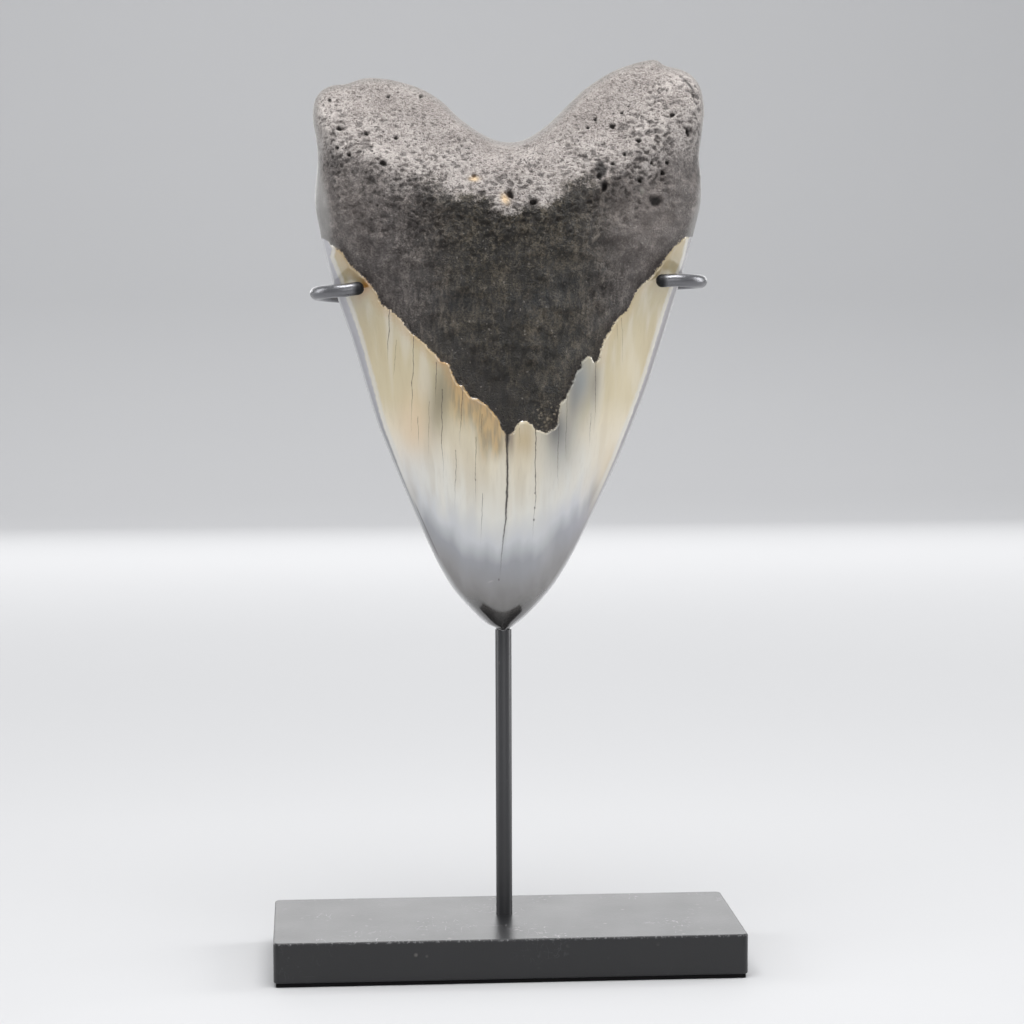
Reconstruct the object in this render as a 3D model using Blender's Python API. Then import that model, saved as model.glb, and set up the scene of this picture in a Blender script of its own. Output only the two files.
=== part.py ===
"""Large fossil shark tooth standing tip down on a steel display stand.

The tooth is one piece: a lumpy root with two lobes, and an enamel crown that stands a little
proud of it along a jagged V. The stand is a flat-bar base with a pad, a post with a shallow cup
for the tip, a back rod behind the tooth, and two arms whose hooks come round its shoulders.

Metres, +Z up. The origin is the centre of the pad's underside, and the front faces -Y.
"""

import math

import bmesh
import bpy
from mathutils import Vector, noise

MM = 0.001

# Base and pad
BASE_WIDTH = 120 * MM
BASE_DEPTH = 50 * MM
BASE_THICKNESS = 10.3 * MM
BASE_EDGE = 0.7 * MM
PAD_THICKNESS = 1.0 * MM
PAD_INSET = 0.6 * MM
TOUCH_GAP = 0.3 * MM

# Post
POST_Y = 4 * MM
POST_RADIUS = 2.1 * MM
POST_TOP = 86.2 * MM
POST_SOCKET_DEPTH = 5 * MM
CUP_RADIUS = 1.7 * MM
CUP_DEPTH = 1.2 * MM

# Arms and back rod
ROD_RADIUS = 1.67 * MM
BACK_ROD_FOOT = 70 * MM
BACK_ROD_TOP = 178.5 * MM
ARM_BACK_Y = 13.4 * MM
HOOK_RADIUS = 7.4 * MM

# Tooth
TIP_HEIGHT = 84.8 * MM
TIP_ROUNDING = 12 * MM
TIP_THICKNESS = 4.4 * MM
TIP_BEND = 2.4 * MM
CREST_HEIGHT = 195.5 * MM
ROOT_FRONT = 19.5 * MM
ROOT_BACK = 8 * MM
ROOT_ROUNDING = 9 * MM
SPREAD_CENTRE = (0, 171 * MM)
ENAMEL_STEP = 0.7 * MM
LEDGE_SLANT = 0.9
LUMP_HEIGHT = 0.65 * MM
OUTLINE_STEPS = 2
RING_COUNT = 11

# Front outline of the tooth as (x, z) in mm, from the left lobe over the notch and round the tip.
TOOTH_OUTLINE = [
    (-48.2, 217.4), (-47.7, 221.9), (-46.0, 224.5), (-43.1, 226.0), (-39.8, 226.3), (-36.2, 227.5),
    (-33.5, 227.9), (-28.1, 227.4), (-20.7, 225.2), (-15.1, 221.8), (-11.0, 217.8), (-5.6, 214.0),
    (-1.5, 212.1), (2.1, 211.6), (6.2, 212.4), (11.5, 215.8), (16.4, 220.4), (20.5, 224.4),
    (24.6, 227.3), (28.7, 229.7), (33.6, 231.5), (37.7, 232.5), (40.0, 232.5), (42.0, 231.1),
    (46.2, 230.1), (49.1, 228.4), (51.2, 225.2), (52.1, 219.9), (51.6, 214.8), (50.8, 207.9),
    (51.2, 203.8), (51.3, 197.1), (49.8, 190.1), (47.6, 181.7), (44.4, 170.9), (40.9, 159.8),
    (37.5, 149.5), (33.9, 140.2), (30.1, 131.2), (25.6, 121.6), (21.7, 113.6), (17.4, 105.2),
    (13.3, 98.4), (9.5, 93.6), (6.1, 90.0), (3.4, 87.7), (1.9, 86.6), (0.7, 86.0), (-0.3, 85.8),
    (-1.4, 86.15), (-2.4, 86.75), (-4.4, 87.8), (-6.9, 90.0), (-10.3, 93.7), (-13.4, 97.6),
    (-17.3, 104.5), (-21.2, 113.1), (-25.3, 122.7), (-29.2, 132.2), (-32.4, 140.4), (-35.8, 151.8),
    (-38.6, 161.3), (-41.9, 171.0), (-44.9, 181.4), (-46.7, 189.8), (-47.8, 197.0), (-47.0, 206.8),
    (-47.4, 212.8),
]

# Where the enamel ends on the front, left to right, and on the back, right to left.
ENAMEL_FRONT = [
    (-45.4, 186.9), (-42.5, 184.7), (-40.9, 183.2), (-38.6, 179.7), (-35.4, 177.1), (-32.9, 173.7),
    (-31.9, 171.5), (-30.6, 169.8), (-27.1, 167.3), (-24.2, 163.5), (-20.7, 160.5), (-17.8, 157.7),
    (-16.6, 156.1), (-14.5, 155.3), (-13.7, 152.5), (-12.5, 150.7), (-10.9, 149.7), (-8.6, 146.8),
    (-7.2, 146.7), (-5.0, 144.8), (-2.7, 142.3), (-1.9, 141.1), (-0.7, 137.8), (1.2, 137.5),
    (2.4, 139.8), (3.6, 140.9), (5.2, 140.9), (7.3, 138.8), (10.2, 137.7), (12.0, 138.7),
    (13.2, 140.0), (13.8, 145.2), (16.0, 148.2), (17.9, 153.3), (19.1, 154.0), (19.5, 156.0),
    (21.0, 157.0), (22.6, 155.4), (24.1, 156.8), (25.0, 160.6), (28.4, 166.0), (31.3, 168.7),
    (33.8, 173.5), (36.9, 176.5), (39.4, 179.4), (41.7, 182.7), (44.2, 185.5), (46.7, 187.2),
]
ENAMEL_BACK = [
    (46.5, 187.0), (41.0, 184.2), (36.0, 183.8), (29.0, 181.5), (24.0, 181.8), (16.0, 179.6),
    (9.0, 180.2), (2.0, 178.9), (-6.0, 179.9), (-13.0, 179.2), (-21.0, 181.4), (-27.0, 181.0),
    (-34.0, 183.4), (-40.0, 184.0), (-45.2, 186.8),
]

# Vein holes and pores: (x, z, width, height, depth) in mm.
FRONT_PITS = [
    (-8.1, 202.7, 1.3, 1.2, 1.4), (0.9, 198.2, 1.9, 2.6, 2.6), (6.8, 196.2, 1.7, 1.5, 1.6),
    (23.9, 204.6, 2.6, 3.8, 2.4), (24.8, 199.6, 1.7, 2.4, 1.6), (38.1, 196.2, 3.2, 2.8, 1.2),
    (34.4, 198.5, 1.2, 1.4, 1.0), (-30.8, 205.8, 1.7, 1.5, 1.4), (-39.3, 207.8, 1.4, 1.2, 1.2),
    (-42.0, 214.6, 1.5, 1.3, 1.2), (-27.3, 212.2, 1.3, 1.2, 1.2), (-20.6, 222.0, 1.5, 1.0, 1.0),
    (27.3, 215.3, 1.6, 1.4, 1.3), (21.3, 215.0, 1.3, 1.2, 1.2), (41.5, 218.2, 1.6, 1.3, 1.3),
    (33.7, 211.5, 1.5, 1.2, 1.2), (39.9, 203.2, 1.4, 1.4, 1.2), (47.6, 213.2, 1.8, 3.0, 1.4),
]
BACK_PITS = [
    (-30.5, 207.0, 1.6, 1.8, 1.3), (-14.5, 199.5, 1.4, 1.4, 1.2), (3.5, 203.2, 1.8, 1.5, 1.3),
    (17.0, 206.4, 1.4, 1.7, 1.2), (33.0, 211.0, 1.8, 1.6, 1.3), (39.5, 199.0, 1.5, 1.5, 1.2),
]

# Splits in the enamel: (width, points top to bottom), in mm.
FRONT_CRACKS = [
    (1.1, [(0.15, 138.6), (0.3, 125.2), (-0.1, 116.4), (-0.6, 111.4), (-1.6, 100.6)]),
    (0.7, [(7.4, 138.9), (7.5, 120.5), (7.2, 116.0), (6.6, 109.0)]),
    (0.6, [(-29.2, 169.6), (-29.7, 155.0)]),
    (0.6, [(-23.3, 163.2), (-23.4, 153.6), (-24.0, 136.6)]),
    (0.5, [(-17.7, 154.2), (-17.9, 144.5)]),
    (0.6, [(-16.1, 149.1), (-16.3, 135.6), (-15.6, 124.9)]),
    (0.6, [(-11.0, 149.9), (-11.6, 140.8), (-11.8, 134.6)]),
    (0.5, [(-12.7, 133.0), (-12.9, 117.0)]),
    (0.5, [(-7.6, 137.0), (-7.9, 122.6), (-7.6, 117.6)]),
    (0.5, [(-6.0, 122.6), (-6.4, 108.8)]),
    (0.5, [(13.4, 138.7), (13.2, 122.4)]),
    (0.5, [(15.5, 146.1), (15.4, 128.3)]),
    (0.5, [(22.9, 155.5), (23.0, 144.7), (22.8, 137.7)]),
]


def clear_scene():
    for leftover in list(bpy.data.objects):
        bpy.data.objects.remove(leftover)


def ease(low, high, value):
    t = min(max((value - low) / (high - low), 0), 1)
    return t * t * (3 - 2 * t)


def add_object(name, mesh, smooth):
    obj = bpy.data.objects.new(name, mesh)
    bpy.context.scene.collection.objects.link(obj)
    for face in mesh.polygons:
        face.use_smooth = smooth
    return obj


def object_from(name, points, faces, smooth=False):
    """A closed object from points and faces, with its normals turned outward."""
    mesh = bpy.data.meshes.new(name)
    mesh.from_pydata(points, [], faces)
    shape = bmesh.new()
    shape.from_mesh(mesh)
    bmesh.ops.recalc_face_normals(shape, faces=shape.faces)
    shape.to_mesh(mesh)
    shape.free()
    return add_object(name, mesh, smooth)


def make_helper(obj):
    obj.hide_render = True
    obj.display_type = "WIRE"


def add_boolean(obj, helper, operation):
    modifier = obj.modifiers.new(helper.name, "BOOLEAN")
    modifier.operation = operation
    modifier.solver = "EXACT"
    modifier.object = helper
    make_helper(helper)


def give_material(obj, name, colour, roughness, metallic=0.0):
    material = bpy.data.materials.new(name)
    material.use_nodes = True
    shader = material.node_tree.nodes["Principled BSDF"]
    shader.inputs["Base Color"].default_value = (*colour, 1)
    shader.inputs["Roughness"].default_value = roughness
    shader.inputs["Metallic"].default_value = metallic
    obj.data.materials.clear()
    obj.data.materials.append(material)


def smooth_outline(points, steps):
    """A closed curve through the points, with this many points to each span."""
    count = len(points)
    curve = []
    for i in range(count):
        a, b, c, d = (Vector(points[(i + k) % count]) * MM for k in (-1, 0, 1, 2))
        for k in range(steps):
            t = k / steps
            curve.append(
                0.5
                * (2 * b + (c - a) * t + (2 * a - 5 * b + 4 * c - d) * t**2 + (3 * b - 3 * c + d - a) * t**3)
            )
    return curve


class ToothForm:
    """How thick the tooth is in front of and behind the plane of its edges."""

    def __init__(self):
        self.outline = smooth_outline(TOOTH_OUTLINE, OUTLINE_STEPS)
        tip = min(range(len(self.outline)), key=lambda i: self.outline[i].y)
        turned = self.outline[tip:] + self.outline[:tip]
        notch = min(
            (i for i, p in enumerate(turned) if abs(p.x) < 12 * MM and p.y > 0.2), key=lambda i: turned[i].y
        )
        self.left = [p for p in turned[:notch] if p.y < 0.2109]
        self.right = [p for p in reversed(turned[notch:] + turned[:1]) if p.y < 0.2109]
        if self.left[len(self.left) // 2].x > 0:
            self.left, self.right = self.right, self.left

    def side(self, chain, z):
        ordered = sorted(chain, key=lambda p: p.y)
        if z <= ordered[0].y:
            return ordered[0].x
        for a, b in zip(ordered, ordered[1:]):
            if a.y <= z <= b.y:
                return a.x + (b.x - a.x) * (z - a.y) / max(b.y - a.y, 1e-9)
        return ordered[-1].x

    def fall_to_edge(self, x, z, inset, rounding, power):
        """1 deep inside and 0 at the outline: rounded on the root, and sharp on the crown."""
        share = min(inset / rounding, 1)
        round_edge = math.sqrt(max(1 - (1 - share) ** 2, 0))
        left = self.side(self.left, z)
        right = self.side(self.right, z)
        across = (2 * x - left - right) / max(right - left, 0.3 * MM)
        power *= 0.65 + 0.35 * ease(90 * MM, 116 * MM, z)
        sharp_edge = max(1 - across * across, 0) ** power
        root = ease(165 * MM, 203 * MM, z)
        return sharp_edge * (1 - root) + round_edge * root

    def front(self, x, z, inset):
        rise = min(max((z - TIP_HEIGHT) / (CREST_HEIGHT - TIP_HEIGHT), 0), 1)
        blunt = math.sqrt(1 - (1 - min((z - TIP_HEIGHT) / TIP_ROUNDING, 1)) ** 2) if rise > 0 else 0
        crown = blunt * (TIP_THICKNESS + (ROOT_FRONT - TIP_THICKNESS) * rise**0.8)
        x_mm = x / MM
        crest = CREST_HEIGHT + (0.0092 if x < 0 else 0.0118) * x_mm**2 * MM
        root = ROOT_FRONT - 0.0042 * x_mm**2 * MM
        over = (z - crest) / MM
        slope = 0 if over < -3 else over if over > 3 else (over + 3) ** 2 / 12
        upper = ease(170 * MM, 205 * MM, z)
        depth = max(crown * (1 - upper) + root * upper - 0.58 * slope * MM, 2 * MM)
        return depth * self.fall_to_edge(x, z, inset, ROOT_ROUNDING, 0.95)

    def back(self, x, z, inset):
        rise = min(max((z - TIP_HEIGHT) / (CREST_HEIGHT - TIP_HEIGHT), 0), 1)
        dip = 0.8 * MM * ease(190 * MM, 205 * MM, z) * math.exp(-((x / (18 * MM)) ** 2))
        return (ROOT_BACK * rise**0.62 - dip) * self.fall_to_edge(x, z, inset, ROOT_ROUNDING, 0.9)

    def middle(self, z):
        """The plane of the edges: the crown leans back a little, and its tip is bent back."""
        up = min(max((z / MM - 85.8) / 22, 0), 1)
        return POST_Y - TIP_BEND * up * (2 - up) + TIP_BEND * ease(105 * MM, 205 * MM, z)


def lump(x, y, z):
    place = Vector((x, y, z)) / MM
    return LUMP_HEIGHT * (noise.noise(place / 9) + 0.5 * noise.noise(place / 4.2 + Vector((7, 3, 1))))


def tooth_body(name, form, sunk, lumpy):
    """The whole tooth as rings spreading from its centre to the outline, front and back.

    It is made smaller by the depth that it is sunk, which fades out towards the top of the root.
    """
    centre = Vector(SPREAD_CENTRE)
    rim = []
    for p in form.outline:
        out = p - centre
        shrink = sunk * (1 - ease(190 * MM, 206 * MM, p.y))
        rim.append(centre + out * (1 - shrink / out.length))
    points = []

    def surface_point(share, i, side):
        place = centre + (rim[i] - centre) * share
        inset = (rim[i] - centre).length * (1 - share)
        x, z = place
        shrink = sunk * (1 - ease(190 * MM, 206 * MM, z))
        depth = form.front(x, z, inset) if side < 0 else form.back(x, z, inset)
        fade = min(inset / (3 * MM), 1)
        y = form.middle(z) + side * max(depth - shrink * fade, 0)
        if lumpy:
            near = ease(8 * MM, 36 * MM, (place - centre).length)
            y += side * fade * near * lump(x, y, z) * ease(150 * MM, 190 * MM, z)
        return (x, y, z)

    count = len(rim)
    shares = [1 - (1 - k / RING_COUNT) ** 1.45 for k in range(1, RING_COUNT)]
    rings = {}
    for side in (-1, 1):
        points.append(surface_point(0, 0, side))
        rings[side] = [[len(points) - 1] * count]
        for share in shares:
            rings[side].append(list(range(len(points), len(points) + count)))
            points.extend(surface_point(share, i, side) for i in range(count))
    edge = list(range(len(points), len(points) + count))
    points.extend((p.x, form.middle(p.y), p.y) for p in rim)
    faces = []
    for side in (-1, 1):
        chain = rings[side] + [edge]
        for inner, outer in zip(chain, chain[1:]):
            for i in range(count):
                j = (i + 1) % count
                if inner[i] == inner[j]:
                    faces.append((inner[i], outer[j], outer[i]))
                else:
                    faces.append((inner[i], inner[j], outer[j], outer[i]))
    return object_from(name, points, faces, smooth=True)


def enamel_region(name, form, line, side):
    """The space below a line on one face. Its upper wall slants, so that the enamel ends in a ledge."""
    first, last = line[0], line[-1]
    margin = 8 if last[0] > first[0] else -8
    line = [(first[0] - margin, first[1])] + line + [(last[0] + margin, last[1])]
    levels = (-30 * MM, 5 * MM) if side < 0 else (3.5 * MM, 30 * MM)
    points = []
    for y in levels:
        for x, z in line:
            place_x, place_z = x * MM, z * MM
            inset = form_inset(form, place_x, place_z)
            depth = form.front(place_x, place_z, inset) if side < 0 else form.back(place_x, place_z, inset)
            surface = form.middle(place_z) + side * depth
            points.append((place_x, y, place_z - side * LEDGE_SLANT * (y - surface)))
        points += [((last[0] + margin) * MM, y, 70 * MM), ((first[0] - margin) * MM, y, 70 * MM)]
    count = len(line) + 2
    faces = [tuple(range(count)), tuple(range(count, 2 * count))]
    faces += [(i, (i + 1) % count, count + (i + 1) % count, count + i) for i in range(count)]
    return object_from(name, points, faces)


def pit_cutter(name, form, pits, side):
    """Low-sided egg shapes set half into the face."""
    shape = bmesh.new()
    for x, z, wide, high, deep in pits:
        place_x, place_z = x * MM, z * MM
        depth = form.front if side < 0 else form.back
        y = form.middle(place_z) + side * depth(place_x, place_z, form_inset(form, place_x, place_z))
        made = bmesh.ops.create_icosphere(shape, subdivisions=1, radius=1)
        for vert in made["verts"]:
            vert.co = Vector(
                (
                    place_x + vert.co.x * wide / 2 * MM,
                    y + vert.co.y * deep * MM,
                    place_z + vert.co.z * high / 2 * MM,
                )
            )
    mesh = bpy.data.meshes.new(name)
    shape.to_mesh(mesh)
    shape.free()
    return add_object(name, mesh, False)


def form_inset(form, x, z):
    """How far a point lies inside the outline, along the line from the centre."""
    centre = Vector(SPREAD_CENTRE)
    place = Vector((x, z)) - centre
    count = len(form.outline)
    for i in range(count):
        a = form.outline[i] - centre
        b = form.outline[(i + 1) % count] - centre
        cross = a.x * b.y - a.y * b.x
        if abs(cross) < 1e-12:
            continue
        s = (place.x * b.y - place.y * b.x) / cross
        t = (a.x * place.y - a.y * place.x) / cross
        if s >= 0 and t >= 0 and s + t > 0:
            return max(place.length / (s + t) - place.length, 0)
    return 0


def crack_cutter(name, form, cracks):
    """Narrow wedges that follow the face, tapering to both ends."""
    points = []
    faces = []
    for width, line in cracks:
        start = len(points)
        last = len(line) - 1
        for k, (x, z) in enumerate(line):
            x, z = x * MM, z * MM
            y = form.middle(z) - form.front(x, z, form_inset(form, x, z))
            half = width / 2 * MM * (0.35 if k in (0, last) else 1)
            deep = 0.7 * MM * (0.5 if k in (0, last) else 1)
            points += [(x - half, y - 0.5 * MM, z), (x + half, y - 0.5 * MM, z), (x, y + deep, z)]
        for k in range(last):
            a = start + 3 * k
            for i in range(3):
                j = (i + 1) % 3
                faces.append((a + i, a + j, a + 3 + j, a + 3 + i))
        faces.append((start, start + 1, start + 2))
        end = start + 3 * last
        faces.append((end, end + 1, end + 2))
    return object_from(name, points, faces)


def build_tooth():
    form = ToothForm()
    tooth = tooth_body("tooth", form, ENAMEL_STEP, lumpy=True)
    enamel = tooth_body("enamel_layer", form, 0, lumpy=False)
    front = enamel_region("enamel_front_region", form, ENAMEL_FRONT, -1)
    back = enamel_region("enamel_back_region", form, ENAMEL_BACK, 1)
    add_boolean(front, back, "UNION")
    add_boolean(enamel, front, "INTERSECT")
    add_boolean(tooth, enamel, "UNION")
    add_boolean(tooth, pit_cutter("front_pits", form, FRONT_PITS, -1), "DIFFERENCE")
    add_boolean(tooth, pit_cutter("back_pits", form, BACK_PITS, 1), "DIFFERENCE")
    add_boolean(tooth, crack_cutter("front_cracks", form, FRONT_CRACKS), "DIFFERENCE")
    give_material(tooth, "tooth_fossil", (0.42, 0.39, 0.34), 0.4)


def rod(name, path, radius, sides=14, chamfer=0.35 * MM):
    """A round rod along a path, with its two ends chamfered."""
    path = [Vector(p) for p in path]
    first = (path[1] - path[0]).normalized()
    last = (path[-1] - path[-2]).normalized()
    stations = [(path[0], radius - chamfer), (path[0] + first * chamfer, radius)]
    stations += [(p, radius) for p in path[1:-1]]
    stations += [(path[-1] - last * chamfer, radius), (path[-1], radius - chamfer)]
    points = []
    across = first.orthogonal().normalized()
    for k, (place, reach) in enumerate(stations):
        before = (place - stations[k - 1][0]).normalized() if k else first
        after = (stations[k + 1][0] - place).normalized() if k < len(stations) - 1 else last
        along = (before + after).normalized()
        across = (across - along * across.dot(along)).normalized()
        other = along.cross(across)
        for i in range(sides):
            turn = 2 * math.pi * i / sides
            points.append(place + reach * (math.cos(turn) * across + math.sin(turn) * other))
    faces = [tuple(range(sides)), tuple(range(len(points) - sides, len(points)))]
    for k in range(len(stations) - 1):
        for i in range(sides):
            j = (i + 1) % sides
            a = k * sides
            faces.append((a + i, a + j, a + sides + j, a + sides + i))
    return object_from(name, points, faces, smooth=True)


def build_arm(name, side, hook_x, tip_x, back_z, bend_z, tip_z, front_y):
    """An arm from beside the back rod, out behind the tooth and round to a hook in front."""
    radius = HOOK_RADIUS
    centre_x = hook_x - side * radius
    centre_y = front_y + radius
    path = [
        (side * (ROD_RADIUS + TOUCH_GAP), ARM_BACK_Y, back_z),
        (side * 20 * MM, ARM_BACK_Y - 0.2 * MM, back_z),
        (side * 27 * MM, ARM_BACK_Y - 1.0 * MM, back_z),
    ]
    for k in range(9):
        turn = math.pi * (1 - k / 8) - math.pi / 2
        place = (centre_x + side * radius * math.cos(turn), centre_y + radius * math.sin(turn))
        path.append((*place, back_z + (bend_z - back_z) * k / 8))
    path.append((tip_x, front_y, tip_z))
    arm = rod(name, path, ROD_RADIUS)
    give_material(arm, name + "_black", (0.05, 0.05, 0.052), 0.45, 0.0)


def build_back_rod():
    foot_y = POST_Y + POST_RADIUS + TOUCH_GAP + ROD_RADIUS
    path = [
        (0, foot_y, BACK_ROD_FOOT),
        (0, foot_y, 84 * MM),
        (0, foot_y + 0.3 * MM, 94 * MM),
        (0, 9.2 * MM, 110 * MM),
        (0, 10.2 * MM, 126 * MM),
        (0, 11.3 * MM, 142 * MM),
        (0, 12.4 * MM, 156 * MM),
        (0, ARM_BACK_Y, 169 * MM),
        (0, ARM_BACK_Y, BACK_ROD_TOP),
    ]
    back_rod = rod("back_rod", path, ROD_RADIUS)
    give_material(back_rod, "back_rod_black", (0.05, 0.05, 0.052), 0.45, 0.0)


def build_post():
    """A turned rod: its foot is in the base's socket, and its top has a shallow cup."""
    foot = PAD_THICKNESS + BASE_THICKNESS - POST_SOCKET_DEPTH + TOUCH_GAP
    profile = [
        (0, foot),
        (POST_RADIUS - 0.3 * MM, foot),
        (POST_RADIUS, foot + 0.3 * MM),
        (POST_RADIUS, POST_TOP - 0.15 * MM),
        (POST_RADIUS - 0.12 * MM, POST_TOP),
        (CUP_RADIUS, POST_TOP),
        (0.5 * MM, POST_TOP - CUP_DEPTH),
        (0, POST_TOP - CUP_DEPTH),
    ]
    sides = 28
    points = []
    rings = []
    for radius, z in profile:
        if radius == 0:
            rings.append([len(points)] * sides)
            points.append((0, POST_Y, z))
            continue
        rings.append(list(range(len(points), len(points) + sides)))
        for i in range(sides):
            turn = 2 * math.pi * i / sides
            points.append((radius * math.cos(turn), POST_Y + radius * math.sin(turn), z))
    faces = []
    for low, high in zip(rings, rings[1:]):
        for i in range(sides):
            j = (i + 1) % sides
            corners = dict.fromkeys((low[i], low[j], high[j], high[i]))
            faces.append(tuple(corners))
    post = object_from("post", points, faces, smooth=True)
    give_material(post, "post_black", (0.05, 0.05, 0.052), 0.45, 0.0)


def block(name, width, depth, low, high, edge):
    shape = bmesh.new()
    bmesh.ops.create_cube(shape, size=1)
    for vert in shape.verts:
        vert.co = Vector((vert.co.x * width, vert.co.y * depth, low + (vert.co.z + 0.5) * (high - low)))
    mesh = bpy.data.meshes.new(name)
    shape.to_mesh(mesh)
    shape.free()
    obj = add_object(name, mesh, False)
    bevel = obj.modifiers.new("edges", "BEVEL")
    bevel.width = edge
    bevel.segments = 2
    bevel.limit_method = "ANGLE"
    return obj


def build_base():
    top = PAD_THICKNESS + BASE_THICKNESS
    base = block("base", BASE_WIDTH, BASE_DEPTH, PAD_THICKNESS, top, BASE_EDGE)
    shape = bmesh.new()
    bmesh.ops.create_cone(
        shape,
        cap_ends=True,
        segments=28,
        radius1=POST_RADIUS + TOUCH_GAP,
        radius2=POST_RADIUS + TOUCH_GAP,
        depth=2 * POST_SOCKET_DEPTH,
    )
    bmesh.ops.translate(shape, verts=shape.verts, vec=(0, POST_Y, top))
    mesh = bpy.data.meshes.new("post_socket")
    shape.to_mesh(mesh)
    shape.free()
    add_boolean(base, add_object("post_socket", mesh, False), "DIFFERENCE")
    give_material(base, "base_black", (0.07, 0.07, 0.072), 0.5, 0.0)
    pad = block(
        "base_pad",
        BASE_WIDTH - 2 * PAD_INSET,
        BASE_DEPTH - 2 * PAD_INSET,
        0,
        PAD_THICKNESS - TOUCH_GAP / 3,
        0.15 * MM,
    )
    give_material(pad, "pad_felt", (0.012, 0.012, 0.012), 0.95)


def main():
    clear_scene()
    build_tooth()
    build_base()
    build_post()
    build_back_rod()
    build_arm("arm_left", -1, -47.6 * MM, -35.7 * MM, 172.3 * MM, 174.1 * MM, 174.75 * MM, -5.75 * MM)
    build_arm("arm_right", 1, 50.85 * MM, 38.5 * MM, 175.4 * MM, 176.35 * MM, 176.1 * MM, -6.4 * MM)


main()
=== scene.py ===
import math

import bpy
import numpy as np
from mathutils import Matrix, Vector, kdtree, noise


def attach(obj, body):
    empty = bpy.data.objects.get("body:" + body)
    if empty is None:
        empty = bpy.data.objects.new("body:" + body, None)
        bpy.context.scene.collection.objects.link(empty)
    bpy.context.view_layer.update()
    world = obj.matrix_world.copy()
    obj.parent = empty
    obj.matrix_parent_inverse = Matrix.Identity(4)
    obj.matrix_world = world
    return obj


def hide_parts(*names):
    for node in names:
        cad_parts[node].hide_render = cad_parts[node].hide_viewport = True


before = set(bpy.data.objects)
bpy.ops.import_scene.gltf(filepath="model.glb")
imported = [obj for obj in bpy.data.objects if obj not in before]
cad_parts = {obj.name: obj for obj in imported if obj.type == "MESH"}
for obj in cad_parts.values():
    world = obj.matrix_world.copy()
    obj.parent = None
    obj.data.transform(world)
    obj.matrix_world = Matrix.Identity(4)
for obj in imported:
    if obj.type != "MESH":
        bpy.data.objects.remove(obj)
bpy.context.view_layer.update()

MM = 0.001

# The tooth's front outline as (x, z) in mm, from the left lobe over the notch and round the tip.
TOOTH_OUTLINE = [
    (-48.2, 217.4), (-47.7, 221.9), (-46, 224.5), (-43.1, 226), (-39.8, 226.3), (-36.2, 227.5),
    (-33.5, 227.9), (-28.1, 227.4), (-20.7, 225.2), (-15.1, 221.8), (-11, 217.8), (-5.6, 214),
    (-1.5, 212.1), (2.1, 211.6), (6.2, 212.4), (11.5, 215.8), (16.4, 220.4), (20.5, 224.4), (24.6, 227.3),
    (28.7, 229.7), (33.6, 231.5), (37.7, 232.5), (40, 232.5), (42, 231.1), (46.2, 230.1), (49.1, 228.4),
    (51.2, 225.2), (52.1, 219.9), (51.6, 214.8), (50.8, 207.9), (51.2, 203.8), (51.3, 197.1),
    (49.8, 190.1), (47.6, 181.7), (44.4, 170.9), (40.9, 159.8), (37.5, 149.5), (33.9, 140.2),
    (30.1, 131.2), (25.6, 121.6), (21.7, 113.6), (17.4, 105.2), (13.3, 98.4), (9.5, 93.6), (6.1, 90),
    (3.4, 87.7), (1.9, 86.6), (0.7, 86), (-0.3, 85.8), (-1.4, 86.15), (-2.4, 86.75), (-4.4, 87.8),
    (-6.9, 90), (-10.3, 93.7), (-13.4, 97.6), (-17.3, 104.5), (-21.2, 113.1), (-25.3, 122.7),
    (-29.2, 132.2), (-32.4, 140.4), (-35.8, 151.8), (-38.6, 161.3), (-41.9, 171), (-44.9, 181.4),
    (-46.7, 189.8), (-47.8, 197), (-47, 206.8), (-47.4, 212.8),
]

# Where the enamel ends: on the front a jagged V, on the back a shallow arch.
ENAMEL_FRONT = [
    (-60, 187.5), (-47, 187.5), (-45.4, 186.9), (-43.7, 185.4), (-42.5, 184.7), (-40.9, 183.2),
    (-39.7, 181.3), (-38.6, 179.7), (-37.5, 178.6), (-35.4, 177.1), (-34.2, 175.5), (-32.9, 173.7),
    (-31.9, 171.5), (-30.6, 169.8), (-28.9, 168.7), (-27.1, 167.3), (-25.7, 165.6), (-24.2, 163.5),
    (-22.5, 162.2), (-20.7, 160.5), (-19.3, 159), (-17.8, 157.7), (-16.6, 156.1), (-15.3, 155.9),
    (-14.5, 155.3), (-13.7, 152.5), (-12.5, 150.7), (-10.9, 149.7), (-10.1, 148.5), (-8.6, 146.8),
    (-7.2, 146.7), (-6.2, 145.8), (-5, 144.8), (-4, 143.8), (-2.7, 142.3), (-1.9, 141.1), (-1.2, 139.1),
    (-0.3, 137.8), (0.8, 137.5), (1.8, 138.3), (2.4, 139.8), (3.6, 140.9), (5.2, 140.9), (6.5, 139.8),
    (7.3, 138.8), (8.6, 138.5), (10.2, 137.7), (12, 138.7), (13.2, 140), (13.6, 143.5), (13.8, 145.2),
    (15.1, 146.6), (16, 148.2), (17.1, 151), (17.9, 153.3), (19.1, 154), (19.5, 156), (21, 157),
    (21.9, 156.8), (22.6, 155.4), (23.1, 155.5), (24.1, 156.8), (24.5, 158.8), (25, 160.6), (25.9, 162.2),
    (27.5, 164.6), (28.4, 166), (29.8, 167.4), (31.3, 168.7), (32.5, 171.4), (33.8, 173.5), (35.2, 175.1),
    (36.9, 176.5), (38.1, 177.5), (39.4, 179.4), (40.6, 180.9), (41.7, 182.7), (42.7, 184.1),
    (44.2, 185.5), (45.4, 186.7), (46.7, 187.2), (60, 187.6),
]
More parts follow.
